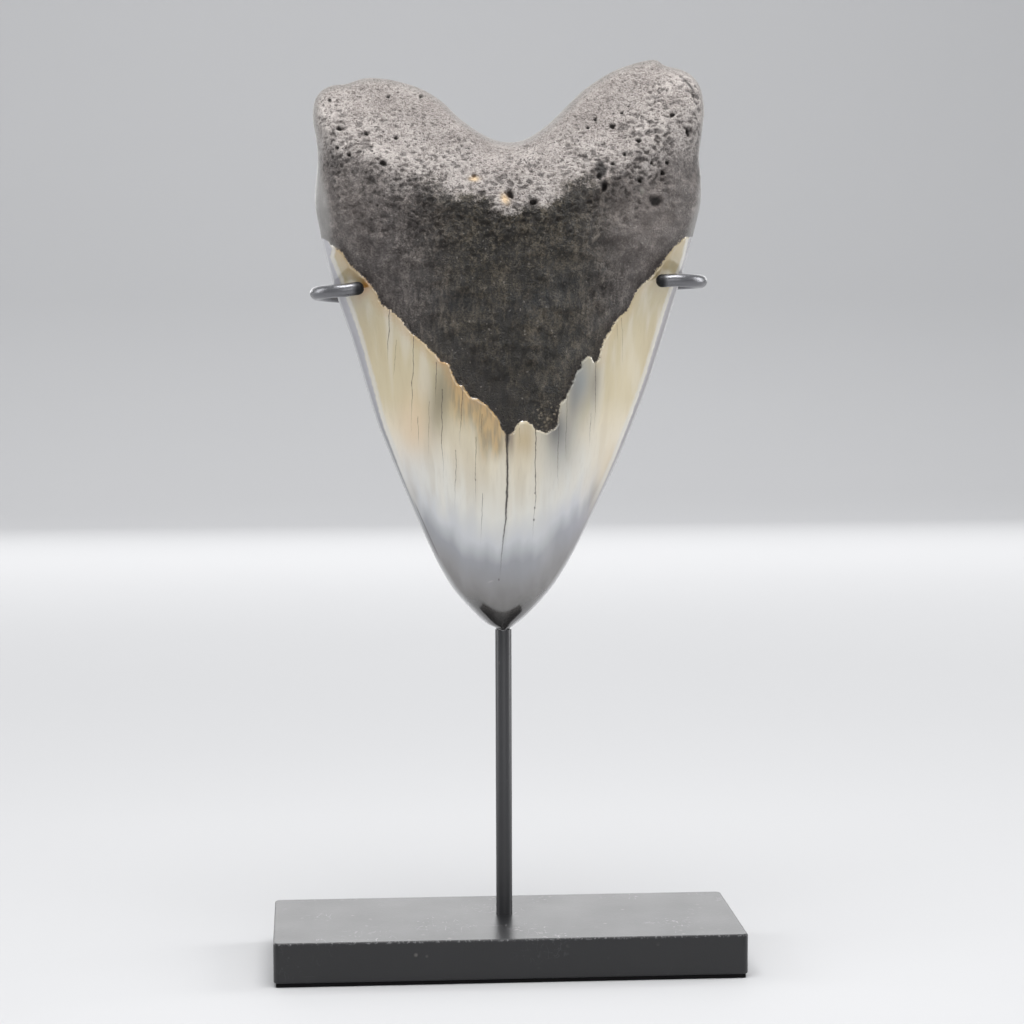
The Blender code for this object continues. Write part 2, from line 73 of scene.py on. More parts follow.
ENAMEL_BACK = [
    (-60, 187.2), (-45.2, 186.8), (-40, 184), (-34, 183.4), (-27, 181), (-21, 181.4), (-13, 179.2),
    (-6, 179.9), (2, 178.9), (9, 180.2), (16, 179.6), (24, 181.8), (29, 181.5), (36, 183.8), (41, 184.2),
    (46.5, 187), (60, 187.4),
]

# Vein holes and pores: (x, z, width, height, depth) in mm.
FRONT_PITS = [
    (-8.1, 202.7, 1.2, 1.1, 1.2), (0.9, 198.2, 1.8, 2.5, 2.4), (6.8, 196.2, 2.3, 2, 2),
    (23.9, 204.4, 3.8, 5.4, 0.75), (23.4, 202.6, 1.5, 1.8, 1.4), (24.8, 199.6, 1.6, 2.3, 1.6),
    (38.1, 196.2, 3.2, 2.8, 0.8), (34.4, 198.5, 1, 1.2, 0.7), (-30.8, 205.8, 1.7, 1.5, 1.3),
    (-39.3, 207.8, 1.2, 1, 1), (-42.2, 209.6, 1, 1, 0.8), (-34.7, 213.4, 1.1, 1, 0.9),
    (-41.5, 214.6, 1.4, 1.2, 1.1), (-43.9, 222.1, 1.2, 1, 0.9), (-29, 223, 1, 0.9, 0.8),
    (-27.3, 212.2, 1.2, 1.1, 1.1), (-20.6, 223.1, 1.3, 0.9, 0.9), (27.3, 215.3, 1.4, 1.2, 1.2),
    (21.3, 215, 1.1, 1.1, 1), (23.1, 217.1, 1.1, 0.9, 0.9), (30, 218.7, 1.1, 1, 0.9),
    (42.5, 218.2, 1.4, 1.1, 1.1), (33.7, 211.5, 1.3, 1.1, 1.1), (30, 208.2, 1.1, 1.1, 1),
    (26.9, 205.6, 1.1, 1.1, 1), (41.2, 205.8, 1.2, 1.1, 1), (37, 205.8, 1.1, 1, 0.9),
    (39.9, 203.2, 1.4, 1.3, 1.2), (34.1, 201.3, 1.2, 1.1, 1), (46.8, 213.4, 1.3, 2.6, 1.2),
]
BACK_PITS = [
    (-30.5, 207, 1.6, 1.8, 1.3), (-14.5, 199.5, 1.4, 1.4, 1.2), (3.5, 203.2, 1.8, 1.5, 1.3),
    (17, 206.4, 1.4, 1.7, 1.2), (33, 211, 1.8, 1.6, 1.3), (39.5, 199, 1.5, 1.5, 1.2),
    (-38.5, 214, 1.2, 1.2, 1), (-22, 216.5, 1.3, 1.2, 1), (25.5, 221, 1.2, 1.1, 1),
]

# Splits in the front enamel that are cut into the mesh: (width, depth, points top to bottom), in mm.
WIDE_SPLITS = [
    (2, 0.3, [(0.2, 141.5), (0.3, 131.5)]),
    (0.85, 0.6, [
        (0.1, 139.5), (0.2, 131), (0.3, 125.2), (-0.1, 116.4), (-0.6, 111.4), (-1.1, 107), (-1.6, 100.4),
    ]),
]

# Hairline cracks, which are only in the material: (width, points top to bottom).
FRONT_CRACKS = [
    (0.4, [(7.4, 138.9), (7.5, 120.5), (7.2, 116), (6.6, 109)]),
    (0.35, [(-29.2, 169.6), (-29.7, 155)]),
    (0.18, [(-27.5, 161.5), (-28.4, 150.2)]),
    (0.32, [(-23.2, 163.2), (-23.4, 153.6), (-24, 136.6)]),
    (0.22, [(-22.2, 142.1), (-22, 133.8)]),
    (0.18, [(-19.4, 146), (-19.6, 130.3)]),
    (0.32, [(-17.7, 156), (-17.9, 144.5)]),
    (0.34, [(-16.1, 149.1), (-16.3, 135.6), (-15.6, 124.9)]),
    (0.34, [(-11, 149.8), (-11.6, 140.8), (-11.8, 134.6)]),
    (0.26, [(-12.7, 133.6), (-12.9, 117)]),
    (0.3, [(-6.3, 142.8), (-6.4, 136.5)]),
    (0.26, [(-7.6, 137), (-7.9, 122.6), (-7.6, 117.6)]),
    (0.26, [(-6, 122.6), (-6.4, 108.8)]),
    (0.16, [(3.2, 139.3), (3.4, 133.7)]),
    (0.26, [(13.4, 139.7), (13.2, 122.4)]),
    (0.24, [(15.5, 147.1), (15.4, 128.3)]),
    (0.28, [(22.9, 155.9), (23, 144.7), (22.8, 137.7)]),
    (0.2, [(21.9, 142.7), (21.6, 133.3)]),
    (0.16, [(29.7, 166.9), (30.4, 153.3)]),
    (0.16, [(28.4, 165.8), (28.6, 160.5)]),
]
BACK_CRACKS = [
    (0.3, [(-31, 181), (-30.5, 158)]),
    (0.35, [(-18, 179.5), (-17, 146)]),
    (0.25, [(-9, 178.5), (-9.4, 150), (-9, 128)]),
    (0.45, [(2.5, 178.5), (2, 140), (1.2, 112)]),
    (0.25, [(13, 178.5), (12.2, 149)]),
    (0.35, [(24.5, 180.5), (23, 150)]),
    (0.2, [(35, 182), (33.5, 163)]),
]

# Small dark knots along the splits: (x, z, size) in mm.
CRACK_KNOTS = [
    (7.3, 118.7, 0.35), (7.1, 115.6, 0.4), (7.3, 122.5, 0.25), (-1.8, 100.2, 0.35), (-7.8, 126, 0.25),
]

# Heights and sizes in mm.
TIP_HEIGHT = 84.8
CREST_HEIGHT = 195.5
BASE_WIDTH = 120
BASE_DEPTH = 50
BASE_LOW = 1.0
BASE_TOP = 11.3
POST_Y = 4.0
POST_RADIUS = 2.1
POST_LOW = 6.6
POST_TOP = 86.2
ROD_RADIUS = 1.67
ARM_BACK_Y = 13.4
HOOK_RADIUS = 7.4
VOXEL = 0.415

# The worn grey strip along the cutting edges: (height, width on the left, width on the right) in mm.
WORN_STRIPS = [
    (86, 0.2, 0.2), (100, 0.3, 0.3), (112, 0.45, 0.5), (128, 0.8, 0.9), (138, 1.1, 1.2), (152, 1.7, 1.5),
    (166, 2.1, 1.7), (172, 2, 1.7), (177, 1.8, 1.4), (180.5, 1.3, 1), (182.5, 1, 1), (184.5, 2, 1.2),
    (187, 1.2, 1.4), (189, 1.6, 1.4), (193, 2.4, 1.3), (198, 2.2, 0.6), (204, 0.2, -0.6), (208, -1.6, -2),
]
STRIP_HEIGHTS, LEFT_STRIP, RIGHT_STRIP = zip(*WORN_STRIPS)


def ease(low, high, value):
    t = np.clip((value - low) / (high - low), 0, 1)
    return t * t * (3 - 2 * t)


def smooth_outline(points, steps):
    """A closed curve through the points, with this many points to each span."""
    points = np.array(points, float)
    curve = []
    for i in range(len(points)):
        a, b, c, d = (points[(i + k) % len(points)] for k in (-1, 0, 1, 2))
        for t in np.arange(steps) / steps:
            bend = (2 * a - 5 * b + 4 * c - d) * t**2 + (3 * b - 3 * c + d - a) * t**3
            curve.append(0.5 * (2 * b + (c - a) * t + bend))
    return np.array(curve)


OUTLINE = smooth_outline(TOOTH_OUTLINE, 8)
CENTRE = np.array((0.0, 171.0))
_turn = np.arctan2(OUTLINE[:, 1] - CENTRE[1], OUTLINE[:, 0] - CENTRE[0])
_order = np.argsort(_turn)
OUTLINE_TURN = _turn[_order]
OUTLINE_REACH = np.hypot(*(OUTLINE - CENTRE).T)[_order]
_sides = OUTLINE[OUTLINE[:, 1] < 210.9]
_sides = _sides[np.argsort(_sides[:, 1])]
LEFT_SIDE = _sides[_sides[:, 0] < 0]
RIGHT_SIDE = _sides[_sides[:, 0] >= 0]


def reach(turn):
    """How far the outline lies from the centre in a direction."""
    return np.interp(turn, OUTLINE_TURN, OUTLINE_REACH, period=2 * math.pi)


def fall_to_edge(x, z, power):
    """1 deep inside and 0 at the outline: rounded on the root, sharp on the crown, blunt at the tip."""
    out_x, out_z = x - CENTRE[0], z - CENTRE[1]
    inset = np.clip(reach(np.arctan2(out_z, out_x)) - np.hypot(out_x, out_z), 0, None)
    round_edge = np.sqrt(np.clip(1 - (1 - np.clip(inset / 9, 0, 1)) ** 2, 0, 1))
    left = np.interp(z, LEFT_SIDE[:, 1], LEFT_SIDE[:, 0])
    right = np.interp(z, RIGHT_SIDE[:, 1], RIGHT_SIDE[:, 0])
    across = np.clip((2 * x - left - right) / np.maximum(right - left, 0.3), -1, 1)
    sharp_edge = (1 - across**2) ** (power * (0.65 + 0.35 * ease(90, 116, z)))
    root = ease(165, 203, z)
    return sharp_edge * (1 - root) + round_edge * root


def crest_height(x):
    """The ridge along the front of the root, where its face turns up and back."""
    return CREST_HEIGHT + np.where(x < 0, 0.0092, 0.0118) * x**2


def rise_above_tip(z):
    return np.clip((z - TIP_HEIGHT) / (CREST_HEIGHT - TIP_HEIGHT), 0, 1)


def front_depth(x, z):
    """How far the front face stands before the middle plane, in mm."""
    rise = rise_above_tip(z)
    blunt = np.sqrt(1 - (1 - np.clip((z - TIP_HEIGHT) / 12, 0, 1)) ** 2)
    crown = blunt * (4.4 + 15.1 * rise**0.8)
    over = z - crest_height(x)
    slope = np.where(over < -3, 0, np.where(over > 3, over, (over + 3) ** 2 / 12))
    upper = ease(170, 205, z)
    depth = crown * (1 - upper) + (19.5 - 0.0042 * x**2) * upper - 0.58 * slope
    swell = 0.45 * ease(87, 93.5, z) * ease(125, 97, z)
    return (np.maximum(depth, 2) + swell) * fall_to_edge(x, z, 0.95)


def back_depth(x, z):
    dip = 0.8 * ease(190, 205, z) * np.exp(-((x / 18) ** 2))
    return (8 * rise_above_tip(z) ** 0.62 - dip) * fall_to_edge(x, z, 0.9)


def middle(z):
    """The plane of the edges: the crown leans back a little, and its tip is bent back."""
    up = np.clip((z - 85.8) / 22, 0, 1)
    return POST_Y - 2.4 * up * (2 - up) + 2.4 * ease(105, 205, z)


def distance_below(x, z, line):
    """How far a place lies below a line across the tooth, in mm, and negative above it."""
    line = np.array(line)
    nearest = np.full(len(x), 1e9)
    for (ax, az), (bx, bz) in zip(line[:-1], line[1:]):
        run_x, run_z = bx - ax, bz - az
        t = np.clip(((x - ax) * run_x + (z - az) * run_z) / (run_x**2 + run_z**2), 0, 1)
        nearest = np.minimum(nearest, np.hypot(x - ax - t * run_x, z - az - t * run_z))
    return np.where(z < np.interp(x, line[:, 0], line[:, 1]), nearest, -nearest)


def distance_to_outline(x, z):
    fine = smooth_outline(TOOTH_OUTLINE, 40)
    tree = kdtree.KDTree(len(fine))
    for i, (px, pz) in enumerate(fine):
        tree.insert((px, 0, pz), i)
    tree.balance()
    return np.array([tree.find((px, 0, pz))[2] for px, pz in zip(x, z)])


# Mesh helpers


def deselect():
    bpy.ops.object.select_all(action="DESELECT")


def only(piece):
    deselect()
    piece.select_set(True)
    bpy.context.view_layer.objects.active = piece


def name_new(name):
    """Names the object that an operator has just added."""
    piece = bpy.context.object
    piece.name = name
    piece.data.name = name
    return piece


def settle(piece):
    """Puts the piece's place, turn and size into its mesh."""
    only(piece)
    bpy.ops.object.transform_apply(location=True, rotation=True, scale=True)


def apply_modifier(piece, kind, **settings):
    only(piece)
    modifier = piece.modifiers.new(kind.lower(), kind)
    for key, value in settings.items():
        setattr(modifier, key, value)
    bpy.ops.object.modifier_apply(modifier=modifier.name)


def select_parts(piece, kind, wanted):
    """Goes into edit mode with only those edges or faces selected that the test wants."""
    only(piece)
    bpy.ops.object.mode_set(mode="EDIT")
    bpy.ops.mesh.select_mode(type=kind)
    bpy.ops.mesh.select_all(action="DESELECT")
    bpy.ops.object.mode_set(mode="OBJECT")
    for part in piece.data.edges if kind == "EDGE" else piece.data.polygons:
        part.select = bool(wanted(part))
    bpy.ops.object.mode_set(mode="EDIT")


def select_edges(piece, wanted):
    """Selects the edges whose two ends, in mm, answer to wanted(a, b)."""
    select_parts(piece, "EDGE", lambda edge: wanted(*(piece.data.vertices[i].co / MM for i in edge.vertices)))


def select_faces(piece, wanted):
    select_parts(piece, "FACE", wanted)


def leave_edit(piece):
    """Leaves edit mode with all the normals outwards."""
    bpy.ops.mesh.select_all(action="SELECT")
    bpy.ops.mesh.normals_make_consistent(inside=False)
    bpy.ops.object.mode_set(mode="OBJECT")
    only(piece)


def points_of(piece):
    flat = np.empty(len(piece.data.vertices) * 3)
    piece.data.vertices.foreach_get("co", flat)
    return flat.reshape(-1, 3) / MM


def move_points(piece, points):
    piece.data.vertices.foreach_set("co", (points * MM).ravel())
    piece.data.update()


def normals_of(piece):
    flat = np.empty(len(piece.data.vertices) * 3)
    piece.data.vertex_normals.foreach_get("vector", flat)
    return flat.reshape(-1, 3)


def edges_of(piece):
    flat = np.empty(len(piece.data.edges) * 2, np.int32)
    piece.data.edges.foreach_get("vertices", flat)
    return flat.reshape(-1, 2)


def give_attribute(piece, name, values):
    layer = piece.data.attributes.new(name, "FLOAT", "POINT")
    layer.data.foreach_set("value", values.astype(np.float32))


def noise_at(points, size, octaves=1, shift=(0, 0, 0), stretch=(1, 1, 1)):
    """Smooth noise around 0 whose lumps are about this many mm apart."""
    places = points / (np.array(stretch) * size) + np.array(shift)
    if octaves == 1:
        return np.array([noise.noise(p) for p in places])
    return np.array([noise.fractal(p, 0.9, 2.1, octaves) for p in places])


def cups_at(points, size, shift=(0, 0, 0), stretch=(1, 1, 1)):
    """Distance to the nearest of many scattered centres, where 1 is one spacing."""
    places = points / (np.array(stretch) * size) + np.array(shift)
    return np.array([noise.voronoi(p)[0][0] for p in places])


# The tooth


def start_tooth():
    """A ball pulled out to the tooth's outline and thickness, remeshed evenly."""
    deselect()
    bpy.ops.mesh.primitive_uv_sphere_add(
        segments=400, ring_count=180, radius=1, rotation=(math.pi / 2, 0, 0)
    )
    tooth = name_new("fossil_tooth")
    settle(tooth)
    ball = points_of(tooth) * MM
    turn = np.arctan2(ball[:, 2], ball[:, 0])
    share = np.arcsin(np.clip(np.hypot(ball[:, 0], ball[:, 2]), 0, 1)) / (math.pi / 2)
    share = 1 - (1 - share) ** 1.25
    x = CENTRE[0] + np.cos(turn) * share * reach(turn)
    z = CENTRE[1] + np.sin(turn) * share * reach(turn)
    side = np.where(ball[:, 1] < 0, -1, 1)
    depth = np.where(side < 0, front_depth(x, z), back_depth(x, z))
    depth[share > 0.9995] = 0
    move_points(tooth, np.stack([x, middle(z) + side * depth, z], axis=1))
    apply_modifier(tooth, "REMESH", mode="VOXEL", voxel_size=VOXEL * MM, use_smooth_shade=True)
    return tooth


def thin(piece, chosen, kept):
    """Makes the faces at the chosen points larger, so that this share of them is left."""
    group = piece.vertex_groups.new(name="thinned")
    group.add(np.flatnonzero(chosen).tolist(), 1, "REPLACE")
    ratio = 1 - chosen.mean() * (1 - kept)
    apply_modifier(piece, "DECIMATE", ratio=ratio, vertex_group="thinned", vertex_group_factor=10)
    piece.vertex_groups.clear()


def thin_tooth(tooth):
    """Larger faces on the back and on the plain enamel, so that the front's root can have small ones."""
    x, y, z = points_of(tooth).T
    thin(tooth, y > middle(z) + 0.8, 0.2)
    x, y, z = points_of(tooth).T
    plain = (distance_below(x, z, ENAMEL_FRONT) > 1.2) & (distance_to_outline(x, z) > 3.2)
    thin(tooth, plain & (y < middle(z)) & (np.abs(x - 0.5) > 2.5), 0.2)


def sharpen_crown(tooth):
    """Puts the crown back exactly on its form, with its cutting edge on the outline."""
    points = points_of(tooth)
    x, y, z = points.T
    front = y < middle(z)
    crown = z < 196
    depth = np.where(front, -front_depth(x, z), back_depth(x, z))
    inside = crown & (np.abs(depth) > 0.35)
    blend = ease(196, 186, z)
    y = np.where(inside, y + (middle(z) + depth - y) * blend, y)
    edges = edges_of(tooth)
    crossing = edges[(front[edges[:, 0]] != front[edges[:, 1]]) & crown[edges[:, 0]] & crown[edges[:, 1]]]
    near = np.abs(y - middle(z))
    pick = np.where(near[crossing[:, 0]] < near[crossing[:, 1]], crossing[:, 0], crossing[:, 1])
    rim_light_band = np.unique(pick)
    turn = np.arctan2(z[rim_light_band] - CENTRE[1], x[rim_light_band] - CENTRE[0])
    x[rim_light_band] = CENTRE[0] + np.cos(turn) * reach(turn)
    z[rim_light_band] = CENTRE[1] + np.sin(turn) * reach(turn)
    y[rim_light_band] = middle(z[rim_light_band])
    move_points(tooth, np.stack([x, y, z], axis=1))


def worn_strip(x, z, edge, ragged):
    """How far inside the worn strip along the cutting edge each place is, in mm."""
    left = np.interp(z, STRIP_HEIGHTS, LEFT_STRIP)
    right = np.interp(z, STRIP_HEIGHTS, RIGHT_STRIP)
    return np.where(x < 0, left, right) + 0.5 * ragged * ease(110, 150, z) - edge


def crest_wrinkles(points, over_crest, flank):
    """Crumpled and cupped root, strongest along the crest."""
    crest_zone = ease(-13, -3, over_crest + 12 * flank) * ease(16, 3, over_crest)
    crumple = 1 - np.abs(noise_at(points, 1.8, 2, (3, 8, 4), (1.3, 1, 0.9))) * 2.4
    wrinkle = 1 - np.abs(noise_at(points, 0.95, 2, (9, 2, 4), (1.1, 1, 1))) * 2.4
    cups = np.clip(cups_at(points, 2.1, (4, 4, 4)), 0, 0.75)
    small_cups = np.clip(cups_at(points, 1.15, (1, 7, 3)), 0, 0.75)
    patchy = 0.7 + 0.6 * ease(-0.25, 0.25, noise_at(points, 8, 1, (5, 2, 2)))
    fine = (0.05 + 0.24 * crest_zone) * (crumple - 0.5) + 0.16 * (wrinkle - 0.5)
    fine += (0.07 + 0.13 * crest_zone) * (cups - 0.4) + 0.10 * (small_cups - 0.4)
    return fine * patchy


def lower_streaks(points, z, flank):
    """Grain on the face below the crest, drawn out upwards at the sides and towards the enamel."""
    drips = noise_at(points, 0.8, 2, (1, 5, 9), (1, 1, 5))
    streaked = ease(190, 168, z) * (0.6 + 0.4 * flank)
    return 0.26 * drips * streaked + 0.13 * noise_at(points, 1.5, 2, (2, 2, 8))


def pit_depth(points, front):
    """Depth in mm of the vein holes and pores, and the painted shade of their floors from 0 to 1, darker in
    deeper ones.
    """
    x, _, z = points.T
    depth, dark = np.zeros(len(points)), np.zeros(len(points))
    wander = 0.5 * noise_at(points, 1.1, 1, (6, 6, 1))
    for pits, face in ((FRONT_PITS, front), (BACK_PITS, ~front)):
        for pit_x, pit_z, wide, high, deep in pits:
            away = np.hypot((x - pit_x) / (wide / 2), (z - pit_z) / (high / 2)) * (1 + wander)
            bowl = np.where(face, ease(1.25, 0.35, away), 0)
            depth += deep * bowl
            dark = np.maximum(dark, bowl * min(deep / 1.4, 1))
    return depth, dark


def split_depth(x, z, front):
    """Depth in mm of the wide splits, which narrow to nothing downwards."""
    depth = np.zeros(len(x))
    for wide, deep, line in WIDE_SPLITS:
        line = np.array(line)[::-1]
        low, high = line[0, 1], line[-1, 1]
        along = np.clip((z - low) / (high - low), 0, 1)
        taper = np.clip(along * 3, 0, 1) * (front & (z > low) & (z < high + 0.5))
        half = wide * taper / 2 + 0.25
        gap = np.clip(1 - np.abs(x - np.interp(z, line[:, 1], line[:, 0])) / half, 0, 1)
        depth += deep * taper * gap
    return depth


def carve_tooth(tooth):
    """Root lumps, wrinkles and pores, vein holes, the enamel's ledge, splits and edge bevel."""
    points = points_of(tooth)
    normals = normals_of(tooth)
    x, y, z = points.T
    front = y < middle(z)
    edge = distance_to_outline(x, z)
    over_crest = z - crest_height(x)

    ragged = 0.30 * noise_at(points, 1.3, 2) + 0.14 * noise_at(points, 0.6, 1, (5, 1, 2))
    below = np.where(front, distance_below(x, z, ENAMEL_FRONT), distance_below(x, z, ENAMEL_BACK))
    below = below + ragged
    strip = worn_strip(x, z, edge, ragged)
    enamel = ease(-0.2, 0.2, below)
    root = 1 - enamel
    push = -0.62 * root * (1 - ease(190, 206, z)) * ease(0.3, 2.5, -strip)
    push += 0.10 * enamel * ease(1.4, 0.1, below) * ease(0.4, 2.0, edge)

    # Root
    well_in = root * ease(-0.6, -7.0, below)
    lumps = 0.45 * noise_at(points, 9) + 0.40 * noise_at(points, 4.2, 1, (7, 3, 1))
    push += root * ease(140, 175, z) * lumps * ease(0.0, 4.0, edge)
    bare = np.where(z > 203, ease(0.2, 2.5, edge), ease(-0.2, 2.5, -strip))
    flank = ease(10, 30, np.abs(x - 3))
    relief = well_in * ease(-30, -4, over_crest) * bare * crest_wrinkles(points, over_crest, flank)
    lower = well_in * ease(-4, -20, over_crest) * bare
    relief += lower * lower_streaks(points, z, flank)
    push += lower * 0.6 * noise_at(points, 5.0, 2, (1, 2, 3), (1.4, 1, 0.8))
    trough = np.exp(-(((below + 5.0) / 2.6) ** 2)) * ease(-30, -22, x) * ease(4, -4, x) * front
    relief -= root * trough * 0.45 * ease(165, 158, z)
    crumbs = np.exp(-(((x - 10.5) / 3.4) ** 2) - ((z - 142.5) / 3.2) ** 2) * front * root
    relief += crumbs * 0.5 * (cups_at(points, 0.95, (2, 2, 2)) - 0.4)
    push += relief
    pits, hole = pit_depth(points, front)
    push -= pits

    # Enamel
    ripples = 0.05 * noise_at(points, 15, 1, (2, 6, 6), (1, 1, 2.5))
    push += enamel * ease(0.5, 5, edge) * ripples
    bevel = ease(-0.5, 0.5, strip) * ease(112, 140, z) * np.where(front, enamel, 0)
    push -= 0.22 * bevel * ease(0.0, 1.0, edge)
    push -= enamel * split_depth(x, z, front)

    move_points(tooth, points + normals * push[:, None])
    fields = {"below_line": below, "hole": hole, "over_crest": over_crest, "relief": relief}
    fields |= {"edge": edge, "strip": strip, "face": front.astype(float)}
    for name, values in fields.items():
        give_attribute(tooth, name, values)


def build_tooth():
    tooth = start_tooth()
    thin_tooth(tooth)
    sharpen_crown(tooth)
    carve_tooth(tooth)
    only(tooth)
    bpy.ops.object.shade_smooth()
    return tooth


# The stand


def rounded_end(end, inner, radius, rounding):
    """Places and sizes of the rings that round off one end of a rod, the outermost first."""
    way = (inner - end).normalized()
    rings = []
    for k in range(7):
        turn = math.pi / 2 * (1 - k / 6)
        place = end + way * rounding * (1 - math.sin(turn))
        rings.append((place, 1 - rounding / radius * (1 - math.cos(turn))))
    return rings


def bend_rod(name, path, radius, rounding):
    """A round rod along a path in mm, with rounded ends."""
    path = [Vector(place) for place in path]
    rings = rounded_end(path[0], path[1], radius, rounding)
    rings += [(place, 1) for place in path[1:-1]]
    rings += rounded_end(path[-1], path[-2], radius, rounding)[::-1]
    deselect()
    bpy.ops.curve.primitive_nurbs_path_add()
    rod = name_new(name)
    spline = rod.data.splines[0]
    spline.type = "POLY"
    spline.points.add(len(rings) - len(spline.points))
    for point, (place, size) in zip(spline.points, rings):
        point.co = (*(place * MM), 1)
        point.radius = size
    rod.data.dimensions = "3D"
    rod.data.bevel_depth = radius * MM
    rod.data.bevel_resolution = 10
    rod.data.use_fill_caps = True
    only(rod)
    bpy.ops.object.convert(target="MESH")
    rod = name_new(name)
    bpy.ops.object.mode_set(mode="EDIT")
    bpy.ops.mesh.select_all(action="SELECT")
    bpy.ops.mesh.remove_doubles(threshold=0.00001)
    leave_edit(rod)
    settle(rod)
    bpy.ops.object.shade_smooth_by_angle(angle=math.radians(50))
    return rod


def arm_path(side, hook_x, tip_x, back_z, bend_z, tip_z, front_y):
    """From behind the tooth, out to the hook's half circle, and back in along the front."""
    centre_x = hook_x - side * HOOK_RADIUS
    centre_y = front_y + HOOK_RADIUS
    path = [(side * (ROD_RADIUS + 0.3), ARM_BACK_Y, back_z), (side * 14, ARM_BACK_Y, back_z)]
    reach_x, reach_y = centre_x, centre_y + HOOK_RADIUS
    for k in range(1, 13):
        t = ease(0, 1, k / 13)
        x = side * 14 + (reach_x - side * 14) * k / 13
        path.append((x, ARM_BACK_Y + (reach_y - ARM_BACK_Y) * t, back_z))
    for k in range(33):
        turn = math.pi * (1 - k / 32) - math.pi / 2
        place = (centre_x + side * HOOK_RADIUS * math.cos(turn), centre_y + HOOK_RADIUS * math.sin(turn))
        path.append((*place, back_z + (bend_z - back_z) * k / 32))
    path.append((tip_x, front_y, tip_z))
    return path


def back_rod_path():
    foot_y = POST_Y + POST_RADIUS + 0.3 + ROD_RADIUS
    heights = [70, 84, 94, 110, 126, 142, 156, 169, 178.5]
    places = [foot_y, foot_y, foot_y + 0.3, 9.2, 10.2, 11.3, 12.4, ARM_BACK_Y, ARM_BACK_Y]
    fine = np.concatenate([[70], np.linspace(72, 176.5, 60), [178.5]])
    smooth = np.interp(fine, heights, places)
    return [(0, y, z) for y, z in zip(smooth, fine)]


def build_post():
    """A turned rod with a shallow cup in its top."""
    deselect()
    bpy.ops.mesh.primitive_cylinder_add(
        vertices=64,
        radius=POST_RADIUS * MM,
        depth=(POST_TOP - POST_LOW) * MM,
        location=(0, POST_Y * MM, (POST_TOP + POST_LOW) / 2 * MM),
    )
    post = name_new("stand_post")
    settle(post)
    select_faces(post, lambda face: face.normal.z > 0.9)
    bpy.ops.mesh.inset(thickness=0.35 * MM)
    bpy.ops.mesh.extrude_region_move(TRANSFORM_OT_translate={"value": (0, 0, -1.2 * MM)})
    bpy.ops.transform.resize(value=(0.3, 0.3, 1))
    bpy.ops.object.mode_set(mode="OBJECT")
    select_edges(post, lambda a, b: min(a.z, b.z) > POST_TOP - 0.01 and math.hypot(a.x, a.y - POST_Y) > 2.0)
    bpy.ops.mesh.bevel(offset=0.12 * MM, segments=2, profile=0.5)
    leave_edit(post)
    bpy.ops.object.shade_smooth_by_angle(angle=math.radians(40))
    return post


def build_base():
    """A flat bar with eased corners, and a hole for the post's foot."""
    deselect()
    bpy.ops.mesh.primitive_cube_add(
        size=1,
        location=(0, 0, (BASE_TOP + BASE_LOW) / 2 * MM),
        scale=(BASE_WIDTH * MM, BASE_DEPTH * MM, (BASE_TOP - BASE_LOW) * MM),
    )
    base = name_new("stand_base")
    settle(base)
    select_edges(base, lambda a, b: abs(a.z - b.z) > 5)
    bpy.ops.mesh.bevel(offset=1.6 * MM, segments=6, profile=0.5)
    leave_edit(base)
    select_edges(base, lambda a, b: abs(a.z - b.z) < 0.01)
    bpy.ops.mesh.bevel(offset=0.45 * MM, segments=4, profile=0.5)
    leave_edit(base)
    select_faces(base, lambda face: face.area > 100 * MM**2)
    bpy.ops.mesh.inset(thickness=0.2 * MM, use_individual=True)
    leave_edit(base)
    deselect()
    bpy.ops.mesh.primitive_cylinder_add(
        vertices=64, radius=(POST_RADIUS + 0.03) * MM, depth=10 * MM, location=(0, POST_Y * MM, 11.5 * MM)
    )
    drill = name_new("drill")
    settle(drill)
    apply_modifier(base, "BOOLEAN", operation="DIFFERENCE", solver="EXACT", object=drill)
    bpy.data.objects.remove(drill)
    only(base)
    bpy.ops.object.shade_smooth_by_angle(angle=math.radians(30))
    return base


tooth = build_tooth()
base = build_base()
post = build_post()
back_rod = bend_rod("stand_back_rod", back_rod_path(), ROD_RADIUS, 0.5)
left_path = arm_path(
    side=-1, hook_x=-47.6, tip_x=-35.7, back_z=172.3, bend_z=174.1, tip_z=174.75, front_y=-5.75
)
right_path = arm_path(
    side=1, hook_x=50.85, tip_x=38.5, back_z=175.4, bend_z=176.35, tip_z=176.1, front_y=-6.4
)
arm_left = bend_rod("stand_arm_left", left_path, ROD_RADIUS, 1.5)
arm_right = bend_rod("stand_arm_right", right_path, ROD_RADIUS, 1.5)


# Materials


def colour(r, g, b):
    """An sRGB colour of 0 to 255 as linear values."""
    return tuple(((v / 255 + 0.055) / 1.055) ** 2.4 if v > 10 else v / 255 / 12.92 for v in (r, g, b))


class Value:
    """A number socket that takes part in ordinary arithmetic."""

    def __init__(self, material, socket):
        self.material = material
        self.socket = socket

    def math(self, operation, *others, clamp=False):
        return self.material.math(operation, self, *others, clamp=clamp)

    def __add__(self, other):
        return self.math("ADD", other)

    __radd__ = __add__

    def __sub__(self, other):
        return self.math("SUBTRACT", other)

    def __rsub__(self, other):
        return self.material.math("SUBTRACT", other, self)

    def __mul__(self, other):
        return self.math("MULTIPLY", other)

    __rmul__ = __mul__

    def __truediv__(self, other):
        return self.math("DIVIDE", other)

    def __rtruediv__(self, other):
        return self.material.math("DIVIDE", other, self)

    def __pow__(self, other):
        return self.math("POWER", other)

    def __neg__(self):
        return self.math("MULTIPLY", -1)

    def __abs__(self):
        return self.math("ABSOLUTE")

    def most(self, other):
        return self.math("MAXIMUM", other)

    def least(self, other):
        return self.math("MINIMUM", other)


